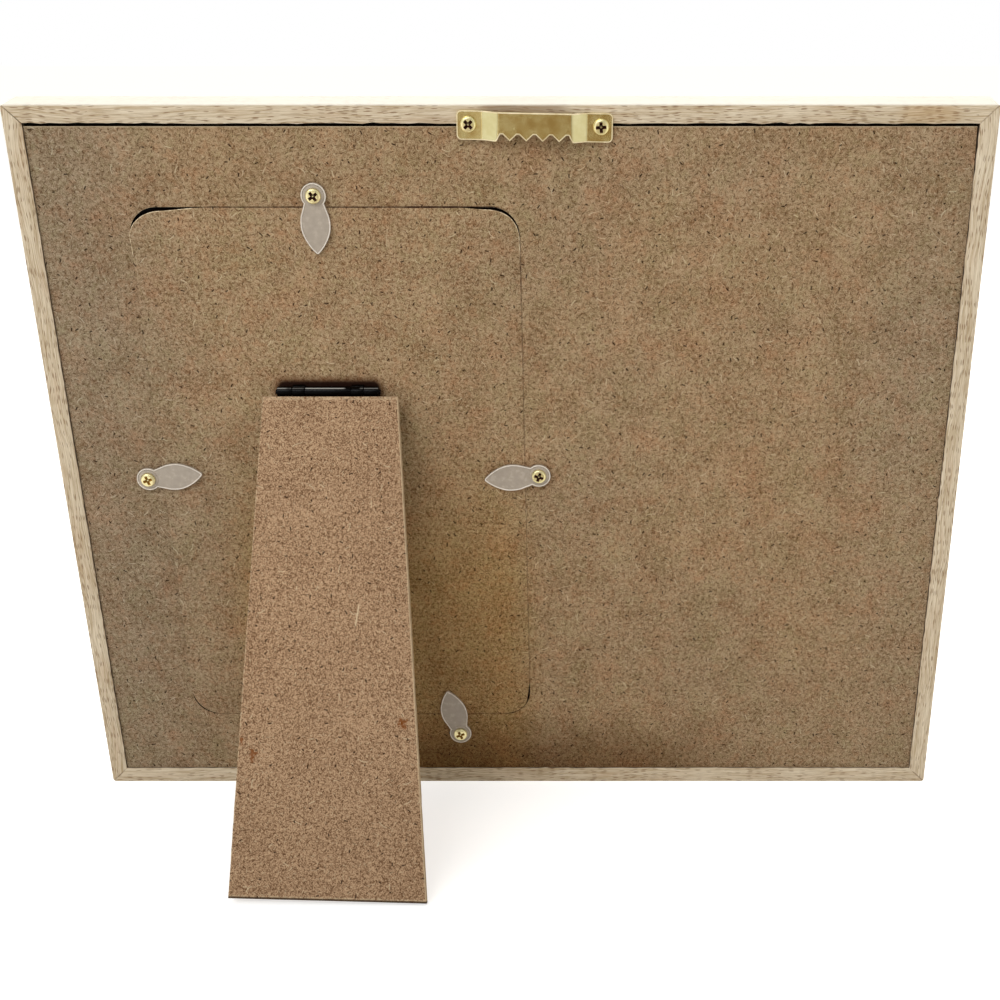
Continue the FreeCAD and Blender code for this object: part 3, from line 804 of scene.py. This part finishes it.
def painted(piece, materials, *tests):
    """Give the piece its finishes, the first all over and each other one where its test passes."""
    take(piece)
    for material in materials:
        piece.data.materials.append(material)
    take(piece, "EDIT")
    for index, test in enumerate(tests, 1):
        paint(piece, index, test)


def done(piece, stood, materials, body, slot, *nodes):
    """Stand a finished piece in its place, give it its finish and let it ride on its body."""
    take(piece, "EDIT")
    bpy.ops.mesh.select_all(action="SELECT")
    bpy.ops.mesh.remove_doubles(threshold=0.2 * NEAR)
    bpy.ops.mesh.dissolve_degenerate(threshold=0.2 * NEAR)
    settle(piece, stood)
    bpy.ops.object.shade_smooth_by_angle(angle=math.radians(38))
    for material in materials:
        piece.data.materials.append(material)
    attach(piece, body)
    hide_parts(*nodes)
    put_down()


def dress(node, material):
    """Give a piece of the fixed frame its finish."""
    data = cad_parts[node].data
    data.materials.clear()
    data.materials.append(material)


# ---------------------------------------------------------------- the pieces


def rail_ring():
    """All four rails in one piece: an L section run round the frame, with softened edges."""
    size = setting("sizes")
    half, top, back = size.width / 2, size.height, size.depth
    ring = block("oak_ring", (-half, 0, 0), (half, back, top))
    pick("FACE", lambda f: f.normal.y > 0.9)
    bpy.ops.mesh.inset(thickness=size.wall)
    extrude(0, size.lip_depth - back, 0)
    bpy.ops.mesh.inset(thickness=size.lip - size.wall)
    bpy.ops.mesh.delete(type="ONLY_FACE")
    pick("FACE", lambda f: f.normal.y < -0.9)
    bpy.ops.mesh.inset(thickness=size.lip)
    bpy.ops.mesh.delete(type="ONLY_FACE")
    pick("EDGE", lambda e: e.is_boundary)
    bpy.ops.mesh.bridge_edge_loops()
    for axis, cuts in ((0, 170), (2, 138)):
        pick("EDGE", lambda e: along(e, axis))
        bpy.ops.mesh.subdivide(number_cuts=cuts)

    def outside(place, room=size.corner + NEAR):
        return abs(place.x) > half - room or place.z < room or place.z > top - room

    pick("EDGE", lambda e: along(e, 1) and all(
        close(abs(v.co.x), half) and close(v.co.z, 0, top) for v in e.verts))
    soften(size.corner, 4)
    for depth, outer, offset, segments in (
            (0, True, size.front_round, 4), (back, True, size.back_round, 2),
            (0, False, size.sight_round, 3), (back, False, 0.18 * MM, 2)):
        pick_rim(lambda place: close(place.y, depth) and outside(place) == outer)
        soften(offset, segments)
    return ring


def nail_places():
    """Where a nail enters each corner, from its side."""
    size = setting("sizes")
    return [Vector((side * size.width / 2, size.lip_depth / 2, z)) for side in (1, -1)
            for z in (size.lip / 2, size.height - size.lip / 2)]


class PHOTOFRAME_OT_rails(Operator):
    """Saw the four oak rails out of one moulded ring, mitred at the corners"""
    bl_idname = "photo_frame.rails"
    bl_label = "Oak Rails"

    def execute(self, context):
        size = setting("sizes")
        half, top, wall = size.width / 2, size.height, size.wall
        ring = rail_ring()
        mitre_gap, dimple_room, dimple_depth, ripple = 0.03 * MM, 0.1 * MM, 0.8 * MM, 1.3 * MM
        # For each rail, the two corners it ends at and the side it is on. The photograph's left is +X.
        rails = {"top": ((half, top), (-half, top), (0, 0, 1)),
                 "bottom": ((half, 0), (-half, 0), (0, 0, -1)),
                 "right": ((half, 0), (half, top), (1, 0, 0)),
                 "left": ((-half, 0), (-half, top), (-1, 0, 0))}

        def sawn_edge(place):
            out = min(half - abs(place.x), place.z, top - place.z)
            return place.y > size.depth - 0.3 * MM and wall - 0.3 * MM < out < wall + 0.25 * MM

        for order, (name, (first, last, side)) in enumerate(rails.items()):
            rail = copied(ring, "oak_rail_" + name)
            take(rail, "EDIT")
            for x, z in (first, last):
                mitre = Vector((1 if z else -1, 0, -math.copysign(1, x)))
                if mitre.dot(Vector(side)) < 0:
                    mitre = -mitre
                mitre.normalize()
                saw(Vector((x, 0, z)) + mitre * mitre_gap, mitre, clear_inner=True, use_fill=True)
            uneven = 1.7 if name == "top" else 1.2
            wobble(rail, sawn_edge, "Z" if side[2] else "X", size.saw_wobble * uneven, ripple)
            for place in nail_places():
                if place.x * side[0] > 0:
                    combine(rail, rod("dimple", size.nail + dimple_room, dimple_depth, place, vertices=32))
            finish = oak_finish("pale_oak_" + name, not side[2], order * 1.7)
            done(rail, standing(), [finish], "frame", "oak", "rail_" + name)
        thrown_away(ring)
        return {"FINISHED"}


def rounded_sheet(name, width, height, low, high, corner, size):
    """A flat sheet with rounded corners round the door's middle, its sides a little uneven."""
    sheet = block(name, (size.middle_x - width / 2, low, size.middle_z - height / 2),
                  (size.middle_x + width / 2, high, size.middle_z + height / 2))
    pick("EDGE", lambda e: along(e, 1))
    soften(corner, 14)
    pick("EDGE", lambda e: not along(e, 1) and e.calc_length() > 20 * MM)
    bpy.ops.mesh.subdivide(number_cuts=90)
    for axis in ("X", "Z"):
        wobble(sheet, lambda place: True, axis, size.wobble, 8 * MM)
    return sheet


def beside(face):
    """True for the sides of a board, between its front and its back."""
    return abs(face.normal.y) < 0.3


def gaping(face):
    """True for the softened edges of the boards where the cut between them gapes."""
    size, place = setting("boards"), middle(face)
    aside, up = place.x - size.middle_x, place.z - size.middle_z
    return (0.3 <= face.normal.y < 0.97 and 68 * MM < up < 84 * MM
            and not -43 * MM <= aside <= 36 * MM)


class PHOTOFRAME_OT_boards(Operator):
    """Cut the back panel with its opening, and the door that closes it"""
    bl_idname = "photo_frame.boards"
    bl_label = "Hardboard Panel and Door"

    def execute(self, context):
        size, outer = setting("boards"), setting("sizes")
        half = outer.width / 2 - outer.wall - size.side_gap
        top = outer.height - outer.wall - size.top_gap
        back = size.front + size.thickness
        finishes = (back_board_finish(), edge_shade_finish(), fuzz_finish())
        panel = block("hardboard_panel", (-half, size.front, outer.wall), (half, back, top))
        pick("EDGE", lambda e: not along(e, 1))
        bpy.ops.mesh.subdivide(number_cuts=60)
        # One upper corner of the panel stops short of the rail.
        pick("VERT", lambda v: v.co.x < NEAR - half and v.co.z > top - NEAR)
        nudge(15 * MM, 0.4 * MM, 0, 0)
        combine(panel, rounded_sheet("opening", size.opening_width, size.opening_height,
                                     size.front - MM, back + MM, size.opening_corner, size))

        door_back = size.door_front + size.thickness
        door = rounded_sheet("hardboard_door", size.opening_width - 2 * size.kerf,
                             size.opening_height - 2 * size.kerf, size.door_front, door_back,
                             size.door_corner, size)
        self.trim(size)
        for piece, rim, node in ((panel, back, "back_panel"), (door, door_back, "back_door")):
            take(piece, "EDIT")
            pick_rim(lambda place: place.y > rim - NEAR)
            soften(EDGE, 2)
            # The boards' sides get the near-black edge finish, painted shade, and the gaping edges the pale
            # fibres.
            painted(piece, finishes, beside, gaping)
            done(piece, standing(), (), "frame", "hardboard", node)
        return {"FINISHED"}

    def trim(self, size):
        """Trim the door in hand as unevenly as it was cut: its top corners, its sides and one low corner."""
        low = size.middle_z - size.opening_height / 2
        top = size.middle_z + size.opening_height / 2 - size.kerf
        right = size.middle_x - size.opening_width / 2 + size.kerf
        left = size.middle_x + size.opening_width / 2 - size.kerf
        for edge, aside, room, move in ((left, -8.5, 15, (0, 0, -0.5)), (left, -6.5, 11.5, (0.15, 0, -0.5)),
                                        (right, 8.5, 8.5, (0, 0, -0.6))):
            pick("VERT", lambda v: abs(v.co.x - edge - aside * MM) < 1.2 * MM and v.co.z > top - 6 * MM)
            nudge(room * MM, *(part * MM for part in move))
        pick("VERT", lambda v: v.co.x > left - 0.3 * MM)
        pull(0.1 * MM, 0, 0)
        pick("VERT", lambda v: v.co.x > left - 1.2 * MM and abs(v.co.z - top + 7 * MM) < MM)
        nudge(5 * MM, 0.28 * MM, 0, 0)
        pick("VERT", lambda v: v.co.x < right + 0.3 * MM and v.co.z < top - 12 * MM)
        pull(-0.1 * MM, 0, 0)
        corner = Vector((right + 2.6 * MM, low + 2.6 * MM))
        pick("VERT", lambda v: (v.co.xz - corner).length < 1.2 * MM)
        nudge(4 * MM, -0.2 * MM, 0, -0.2 * MM)
        pick("VERT", lambda v: v.co.x < right + 0.4 * MM and abs(v.co.z - 33.6 * MM) < 1.7 * MM)
        nudge(3 * MM, 0.5 * MM, 0, 0)


class PHOTOFRAME_OT_leg(Operator):
    """Shape the tapered easel leg and swing it open"""
    bl_idname = "photo_frame.leg"
    bl_label = "Easel Leg"

    def execute(self, context):
        size = setting("leg")
        half, outer = size.foot_width / 2, size.inner + size.thickness
        foot_x = size.middle_x - size.skew
        edge_round, uneven, ripple = 0.25 * MM, 0.2 * MM, 3 * MM
        leg = block("hardboard_leg", (foot_x - half, size.inner, size.foot),
                    (foot_x + half, outer, size.top))
        pick("VERT", lambda v: v.co.z > size.top - NEAR)
        bpy.ops.transform.resize(value=(size.top_width / size.foot_width, 1, 1),
                                 center_override=(foot_x, size.inner, size.top))
        pull(size.skew, 0, 0)
        pick("VERT", lambda v: v.co.z < size.top - NEAR and v.co.x > foot_x)
        pull(0, 0, size.foot_slope)
        pick("EDGE", lambda e: reach(e, 2) > 50 * MM)
        bpy.ops.mesh.subdivide(number_cuts=100)
        pick("EDGE", lambda e: reach(e, 0) > 20 * MM and not
             size.foot + 2 * MM < e.verts[0].co.z < size.top - MM)
        bpy.ops.mesh.subdivide(number_cuts=30)
        pick_rim(lambda place: place.y > outer - NEAR)
        soften(edge_round)
        wobble(leg, lambda place: size.foot + 3 * MM < place.z < size.top - MM, "X", uneven, ripple)
        done(leg, leg_open(), [leg_board_finish()], "leg", "leg_board", "easel_leg")
        return {"FINISHED"}


def on_pin(name, low, high, radius, edge, vertices=40):
    """A rod round the hinge's pin, from one place along it to another."""
    leg = setting("leg")
    return rod(name, radius, high - low, ((low + high) / 2, leg.axis_y, leg.axis_z), vertices=vertices,
               edge=edge)


def hinge_leaf(name, front, own, others):
    """One leaf, folded flat: a plate with rounded lower corners and its knuckles rolled over the pin."""
    size, leg = setting("hinge"), setting("leg")
    half, foot, gap = size.width / 2, leg.axis_z - size.drop, size.gap / 2
    edge_round, room, bore_room = 0.12 * MM, size.barrel + 0.3 * MM, 0.05 * MM
    leaf = block(name, (size.middle_x - half, front, foot),
                 (size.middle_x + half, front + size.leaf, leg.axis_z))
    pick("EDGE", lambda e: along(e, 1) and e.verts[0].co.z < foot + NEAR)
    soften(size.corner, 8)
    pick("EDGE", sharp)
    soften(edge_round, 2)
    for low, high in others:
        combine(leaf, block("room", (low - gap, front - MM, leg.axis_z - room),
                            (high + gap, front + size.leaf + MM, leg.axis_z + room)))
    for low, high in own:
        combine(leaf, on_pin("knuckle", low + gap, high - gap, size.barrel, EDGE), "UNION")
    combine(leaf, on_pin("bore", size.middle_x - half - MM, size.middle_x + half + MM,
                         size.pin + bore_room, 0))
    return leaf


class PHOTOFRAME_OT_hinge(Operator):
    """Roll the hinge's two leaves, push the pin through and rivet them on"""
    bl_idname = "photo_frame.hinge"
    bl_label = "Hinge"

    def execute(self, context):
        size, leg, enamel = setting("hinge"), setting("leg"), enamel_finish()
        leaf_gap, heel_round, pin_end = 0.3 * MM, 0.25 * MM, 0.5 * MM
        edges = [size.middle_x - size.width / 2]
        wide = size.width - 2 * (size.end + size.narrow)
        for step in (size.end, size.narrow, wide, size.narrow, size.end):
            edges.append(edges[-1] + step)
        spans = list(zip(edges, edges[1:]))
        fixed = hinge_leaf("black_door_leaf", size.door_back, spans[0::2], spans[1::2])
        done(fixed, standing(), [enamel], "frame", "black_enamel", "hinge_door_leaf")
        swung = hinge_leaf("black_leg_leaf", size.door_back + size.leaf + leaf_gap, spans[1::2],
                           spans[0::2])
        pin = Matrix.Translation((0, leg.axis_y, leg.axis_z))
        for low, high in spans[1::2]:
            heel = block("heel", (low + size.gap / 2, size.door_back + 0.2 * MM, leg.axis_z + 0.8 * MM),
                         (high - size.gap / 2, leg.axis_y, leg.axis_z + size.barrel + size.heel))
            pick("EDGE", lambda e: along(e, 0))
            soften(heel_round)
            settle(heel, pin @ Matrix.Rotation(-leg.opening, 4, "X") @ pin.inverted())
            combine(swung, heel, "UNION")
        done(swung, leg_open(), [enamel], "leg", "black_enamel", "hinge_leg_leaf")
        half = size.width / 2 + pin_end
        through = on_pin("black_pin", size.middle_x - half, size.middle_x + half, size.pin, 0.3 * MM, 24)
        done(through, standing(), [enamel], "frame", "black_enamel", "hinge_pin")
        for node in ("hinge_door_rivets", "hinge_leg_rivets"):
            dress(node, enamel)
        return {"FINISHED"}


# Half of a button's outline from the bottom of the ring to the tip, in millimetres from the screw: each
# place with its handles before and after it. The other half mirrors it.
BUTTON_OUTLINE = (
    ((0, -3.45), (-1.9, -3.45), (1.9, -3.45)), ((3.45, 0), (3.45, -1.9), (3.45, 1.05)),
    ((2.72, 2.2), (3.1, 1.7), (2.95, 2.75)), ((3.72, 5.2), (3.35, 4.2), (4.05, 6.2)),
    ((4.08, 8.9), (4.2, 7.7), (3.95, 10.9)), ((0.7, 15.7), (2.5, 13.9), (0.45, 16.02)),
    ((0, 16.2), (0.25, 16.2), (-0.25, 16.2)))
# Each button's screw, sideways and up in millimetres, and its turn in degrees.
BUTTONS = {"top": (51.76, 192.8, 180.0), "bottom": (18.28, 18.9, 13.0),
           "left": (107.75, 108.4998, 275.6), "right": (-8.55, 109.59592, 94.7)}
BACKWARD = (-math.pi / 2, 0, 0)


def button_blank(materials):
    """One turn button pointing up, its screw's axis through the origin: a leaf with a raised rim."""
    size = setting("buttons")
    put_down()
    bpy.ops.curve.primitive_bezier_circle_add(radius=size.ring)
    curve = bpy.context.object
    outline = list(BUTTON_OUTLINE) + [
        tuple((-x, z) for x, z in (place, after, before))
        for place, before, after in reversed(BUTTON_OUTLINE[1:-1])]
    points = curve.data.splines[0].bezier_points
    points.add(len(outline) - len(points))
    for point, places in zip(points, outline):
        point.handle_left_type = point.handle_right_type = "FREE"
        point.co, point.handle_left, point.handle_right = [Vector((x * MM, 0, z * MM)) for x, z in places]
    curve.data.splines[0].resolution_u = curve.data.resolution_u = 12
    curve.data.dimensions = "3D"
    bpy.ops.object.convert(target="MESH")
    blank = started("button_blank")
    bpy.ops.mesh.select_all(action="SELECT")
    bpy.ops.mesh.remove_doubles(threshold=NEAR)
    pull(0, size.base, 0)
    bpy.ops.mesh.edge_face_add()
    extrude(0, size.thickness, 0)
    bpy.ops.mesh.select_all(action="SELECT")
    bpy.ops.mesh.normals_make_consistent(inside=False)
    top = size.base + size.thickness
    floor = top - size.rim_height
    pick("FACE", lambda f: f.normal.y > 0.9)
    bpy.ops.mesh.inset(thickness=size.rim)
    extrude(0, -size.rim_height, 0)
    pick_rim(lambda place: place.y > top - NEAR)
    soften(EDGE, 3)
    pick_rim(lambda place: place.y < size.base + NEAR)
    soften(0.1 * MM, 2)
    combine(blank, rod("seat", size.seat, 0.3 * MM, (0, floor, 0), BACKWARD, 48, 0.08 * MM, 2), "UNION")
    # The raised rim and its upper sides get the paler finish: a painted highlight.
    painted(blank, materials, lambda f: middle(f).y > floor + 0.03 * MM and
            middle(f).xz.length > size.seat + 0.1 * MM and f.normal.y > -0.1)
    return blank


def screw_blank(materials):
    """A small pan head with a cross recess, its seat at zero, facing the back."""
    size = setting("buttons")
    deep, dome, recess_round = size.head_height - 0.75 * MM, 0.72 * MM, 0.12 * MM
    screw = rod("screw_blank", size.head, size.head_height, (0, size.head_height / 2, 0), BACKWARD)
    pick("EDGE", lambda e: all(v.co.y > size.head_height - NEAR for v in e.verts))
    soften(dome, 6)
    for quarter in range(2):
        arm = block("arm", (-size.cross, deep, -size.cross_width / 2),
                    (size.cross, size.head_height + 0.2 * MM, size.cross_width / 2))
        pick("VERT", lambda v: v.co.y < deep + NEAR)
        bpy.ops.transform.resize(value=(0.6, 1, 0.5), center_override=(0, deep, 0))
        pick("EDGE", lambda e: reach(e, 1) > 0.5 * MM)
        soften(recess_round, 2)
        settle(arm, Matrix.Rotation(math.radians(90 * quarter + 0.5), 4, "Y"))
        combine(screw, arm)
    put_down()
    bpy.ops.mesh.primitive_cone_add(vertices=16, radius1=0.5 * MM, radius2=0.2 * MM, depth=0.5 * MM,
                                    location=(0, deep + 0.2 * MM, 0), rotation=BACKWARD)
    combine(screw, started("core"), "UNION")

    def in_recess(face):
        place = middle(face)
        from_axis = place.xz.length
        return (0.2 * MM < place.y < 0.93 * MM and from_axis < size.cross + 0.1 * MM
                and not (from_axis < 0.42 * MM and place.y > deep + 0.05 * MM))

    # The recess gets the dark recess finish: painted shade.
    painted(screw, materials, in_recess)
    return screw


def set_on(blank, name, x, y, z, turn):
    """A copy of a blank, turned about the screw's axis and set down."""
    return copied(blank, name, Matrix.Translation((x, y, z)) @ Matrix.Rotation(turn, 4, "Y"))


class PHOTOFRAME_OT_buttons(Operator):
    """Mould the four turn buttons and set their screws"""
    bl_idname = "photo_frame.buttons"
    bl_label = "Turn Buttons and Screws"

    def execute(self, context):
        size, boards, tints = setting("buttons"), setting("boards"), setting("colours")
        back = boards.front + boards.thickness
        seat = back + size.base + size.thickness
        blank = button_blank((plastic_finish("clear_plastic", tints.plastic),
                              plastic_finish("clear_plastic_rim", tints.plastic_rim_highlight)))
        screw = screw_blank((brass_finish("pale_brass_screw", tints.screw, tints.brass, 0.3),
                             recess_shade_finish()))
        for name, (x, z, degrees) in BUTTONS.items():
            x, z, turn = x * MM, z * MM, math.radians(degrees)
            done(set_on(blank, "turn_button_%s_leaf" % name, x, back, z, turn), standing(), (),
                 "button_" + name, "clear_plastic", "turn_button_" + name)
            done(set_on(screw, "button_screw_" + name, x, seat, z, turn * 1.7), standing(), (),
                 "frame", "brass_plate", "button_screws")
        thrown_away(blank, screw)
        return {"FINISHED"}


class PHOTOFRAME_OT_hanger(Operator):
    """Stamp and bend the sawtooth hanger, and drive its two screws"""
    bl_idname = "photo_frame.hanger"
    bl_label = "Sawtooth Hanger"

    def execute(self, context):
        size, tints, frame_size = setting("hanger"), setting("colours"), setting("sizes")
        half, rise, pitch = size.length / 2, size.rise, size.pitch
        foot, ramp_foot = -size.height / 2, size.crest + size.ramp
        plate = block("brass_hanger", (-half, 0, foot), (half, size.thickness, -foot))
        flat, blunt, outer = 0.35 * MM, 0.25 * MM, pitch * 2.5
        bend_round, edge_round, highlight_width = 0.5 * MM, 0.14 * MM, 0.32 * MM
        notches = [pitch * number for number in range(-2, 3)]
        bends = [-ramp_foot, -size.crest, size.crest, ramp_foot]
        for x in sorted(bends + [x + side * room for x in notches for side in (-1, 1)
                                 for room in (flat, pitch / 2)]):
            saw((x, 0, 0), (1, 0, 0))
        bpy.ops.mesh.select_all(action="SELECT")
        bpy.ops.mesh.remove_doubles(threshold=NEAR)
        tips = [x + pitch / 2 for x in notches[:-1]]
        pick("VERT", lambda v: v.co.z < foot + NEAR and close(v.co.x, *notches, room=flat + NEAR))
        pull(0, 0, size.notch)
        pick("VERT", lambda v: v.co.z < foot + NEAR and close(v.co.x, *tips))
        pull(0, 0, blunt)
        pick("VERT", lambda v: abs(v.co.x) < size.crest + NEAR)
        pull(0, rise, 0)
        pick("VERT", lambda v: close(abs(v.co.x), outer))
        pull(0, rise * (ramp_foot - outer) / size.ramp, 0)
        pick("EDGE", lambda e: along(e, 1) and close(abs(e.verts[0].co.x), half))
        soften(size.corner, 6)
        pick("EDGE", lambda e: along(e, 2) and sharp(e, 10) and close(
            abs(e.verts[0].co.x), size.crest, ramp_foot))
        soften(bend_round, 4)
        # The pale edge finish on the back faces is a painted highlight; after the inset only a ring round the
        # outline keeps it.
        painted(plate, (
            brass_finish("brass_plating", tints.brass, tints.brass_dull, 0.16),
            brass_finish("stretched_brass", tone(196, 188, 145), tone(184, 174, 128), 0.24),
            brass_finish("worn_brass_edge", tints.wear_and_highlight, tone(214, 196, 150), 0.45, 0.3)),
            lambda f: False, lambda f: f.normal.y > 0.6)
        pick("FACE", lambda f: f.normal.y > 0.6)
        bpy.ops.mesh.inset(thickness=highlight_width)
        plate.active_material_index = 0
        bpy.ops.object.material_slot_assign()
        # Painted reflection: the ramps and bends get a greyer brass than the flat parts, for what they
        # reflect.
        paint(plate, 1, lambda f: f.material_index == 0 and f.normal.y > 0.6 and abs(f.normal.x) > 0.08)
        pick_rim(lambda place: place.y > size.thickness - NEAR, 60)
        soften(edge_round)
        # The lower bevels get the pale edge finish too: a painted highlight.
        paint(plate, 2, lambda f: 0.15 < f.normal.y < 0.9 and abs(f.normal.z) > 0.2)

        fixed = (standing() @ Matrix.Translation(
            (-size.offset, frame_size.depth, frame_size.height - size.below_top))
            @ Matrix.Rotation(size.tilt, 4, "Y"))
        done(plate, fixed, (), "frame", "brass_plate", "sawtooth_hanger")
        screw = screw_blank([bpy.data.materials[name] for name in ("pale_brass_screw", "screw_recess")])
        for name, side, turn in (("left", 1, 0.0), ("right", -1, 0.86)):
            one = set_on(screw, "hanger_screw_" + name, side * size.screws / 2, size.thickness,
                         size.screw_rise, math.radians(45) + turn)
            done(one, fixed, (), "frame", "brass_plate", "hanger_screws")
        thrown_away(screw)
        return {"FINISHED"}


class PHOTOFRAME_OT_glazing(Operator):
    """Cut the glass and finish the mat, the blank print and the corner nails"""
    bl_idname = "photo_frame.glazing"
    bl_label = "Glass, Mat, Print and Nails"

    def execute(self, context):
        size = setting("sizes")
        room, front_gap, back_gap, glass_round = 0.75 * MM, 0.03 * MM, 0.1 * MM, 0.3 * MM
        half, low = size.width / 2 - size.wall - room, size.wall + room
        pane = block("glass_sheet", (-half, size.lip_depth + front_gap, low),
                     (half, size.lip_depth + size.glass - back_gap, size.height - low))
        pick("EDGE", sharp)
        soften(glass_round, 2)
        done(pane, standing(), [glass_finish()], "frame", "clear_glass", "glass_pane")
        dress("mat_board", card_finish())
        dress("photo_insert", paper_finish())
        head, sunk, shank = 0.5 * MM, 0.15 * MM, 0.6 * MM
        nail = rod("nail_blank", size.nail, head, (-sunk - head / 2, 0, 0), vertices=32, edge=0.12 * MM)
        combine(nail, rod("shank", shank, size.nail_length - head,
                          (-(size.nail_length + head) / 2, 0, 0), vertices=24), "UNION")
        steel = steel_finish()
        for order, place in enumerate(nail_places(), 1):
            turn = Matrix.Rotation(0.0 if place.x > 0 else math.pi, 4, "Z")
            twin = copied(nail, "corner_nail_%d" % order, Matrix.Translation(place) @ turn)
            done(twin, standing(), [steel], "frame", "nail_steel", "corner_nails")
        thrown_away(nail)
        return {"FINISHED"}


def lamp(name, place, width, height, power, tint=(1, 1, 1)):
    """A flat lamp that is aimed at the middle of the frame."""
    put_down()
    bpy.ops.object.light_add(type="AREA", location=place)
    light = bpy.context.object
    light.name = name
    light.rotation_euler = (Vector((0, 0, 0.1)) - Vector(place)).to_track_quat("-Z", "Y").to_euler()
    light.data.shape, light.data.size, light.data.size_y = "RECTANGLE", width, height
    light.data.energy, light.data.color = power, tint
    return light


class PHOTOFRAME_OT_stage(Operator):
    """Lay the pale floor, light it softly and place the camera"""
    bl_idname = "photo_frame.stage"
    bl_label = "Floor, Light and Camera"

    def execute(self, context):
        light = setting("light")
        put_down()
        bpy.ops.mesh.primitive_plane_add(size=60, location=(0, 0, 0))
        floor = bpy.context.object
        floor.name = "pale_floor"
        paint = Recipe("pale_floor")
        x, y, z = paint.place()
        shaded = paint.rays("Glossy") * abs(x + 25.0).spread(230.0, 90.0) * y.spread(60.0, 160.0)
        matte = paint.node("BsdfDiffuse", {
            "Color": paint.blend(shaded, (0.8, 0.8, 0.8), (0.3, 0.22, 0.13))})
        seen = paint.rays("Camera", "Glossy", "Transmission") * (1 - shaded)
        glow = paint.node("Emission", {"Color": (1, 1, 1, 1), "Strength": seen * light.floor_glow})
        both = paint.node("AddShader", [matte.outputs[0], glow.outputs[0]])
        paint.node("OutputMaterial", {"Surface": both.outputs[0]})
        floor.data.materials.append(paint.material)

        world = bpy.data.worlds.new("studio")
        context.scene.world = world
        room = Recipe("studio", world)
        through, mirrored = room.rays("Camera", "Transmission"), room.rays("Glossy")
        x, y, z = room.parts(room.add("TexCoord", output="Generated"))
        walls = abs(x).spread(0.3, 0.85) * 0.7 + z.spread(0.2, 0.9) * 0.4 + 0.16
        walls = walls.most(y.spread(0.0, -0.25) * (z * 0.3 + 0.62))
        strength = through.most(mirrored * walls).most((1 - mirrored) * light.sky)
        warm = room.blend(through.most(mirrored), (1.0, 0.94, 0.82), (1, 1, 1))
        sky = room.node("Background", {"Color": warm, "Strength": strength})
        room.node("OutputWorld", {"Surface": sky.outputs[0]})

        lamp("key_lamp", (1.25, 2.4, 2.2), 2.4, 0.6, light.key, (0.95, 0.98, 1.0))
        lamp("strip_lamp", (0.35, 1.4, 2.1), 2.0, 0.03, light.strip)
        lamp("top_lamp", (-0.1, -0.5, 1.5), 0.8, 0.8, light.top)
        lamp("front_lamp", (-0.3, -1.3, 0.7), 0.8, 0.8, light.front).visible_glossy = False

        bpy.ops.object.camera_add(location=(-0.0253, 0.44493, 0.2273),
                                  rotation=(math.radians(90 - 18.89), 0, math.pi))
        camera = context.object
        camera.name = "photograph_view"
        camera.data.lens, camera.data.sensor_width = 57.67, 36
        camera.data.shift_x, camera.data.shift_y = -0.0952, 0.1007
        camera.data.clip_start, camera.data.clip_end = 0.01, 100
        context.scene.camera = camera
        context.scene.view_settings.view_transform = "Standard"
        return {"FINISHED"}


class PHOTOFRAME_PT_pieces(Panel):
    """Lists the pieces in the order they are made"""
    bl_idname = "PHOTOFRAME_PT_pieces"
    bl_label = "Photo Frame"
    bl_space_type = "VIEW_3D"
    bl_region_type = "UI"
    bl_category = "Photo Frame"

    def draw(self, context):
        for group in GROUPS:
            box = self.layout.box()
            values = getattr(context.scene, "photo_frame_" + group)
            for name in values.__annotations__:
                box.prop(values, name)
        for operator in OPERATORS:
            self.layout.operator(operator.bl_idname)


GROUPS = {"sizes": FrameSizes, "boards": BoardSizes, "leg": LegSizes, "hinge": HingeSizes,
          "buttons": ButtonSizes, "hanger": HangerSizes, "colours": Colours, "light": StageLight}
OPERATORS = (PHOTOFRAME_OT_rails, PHOTOFRAME_OT_boards, PHOTOFRAME_OT_leg, PHOTOFRAME_OT_hinge,
             PHOTOFRAME_OT_buttons, PHOTOFRAME_OT_hanger, PHOTOFRAME_OT_glazing, PHOTOFRAME_OT_stage)


def register():
    for group in (*GROUPS.values(), *OPERATORS, PHOTOFRAME_PT_pieces):
        bpy.utils.register_class(group)
    for name, group in GROUPS.items():
        setattr(bpy.types.Scene, "photo_frame_" + name, PointerProperty(type=group))


def unregister():
    for name in GROUPS:
        delattr(bpy.types.Scene, "photo_frame_" + name)
    for group in reversed((*GROUPS.values(), *OPERATORS, PHOTOFRAME_PT_pieces)):
        bpy.utils.unregister_class(group)


def main():
    register()
    for operator in OPERATORS:
        getattr(bpy.ops.photo_frame, operator.bl_idname.split(".")[1])()


if __name__ == "__main__":
    main()
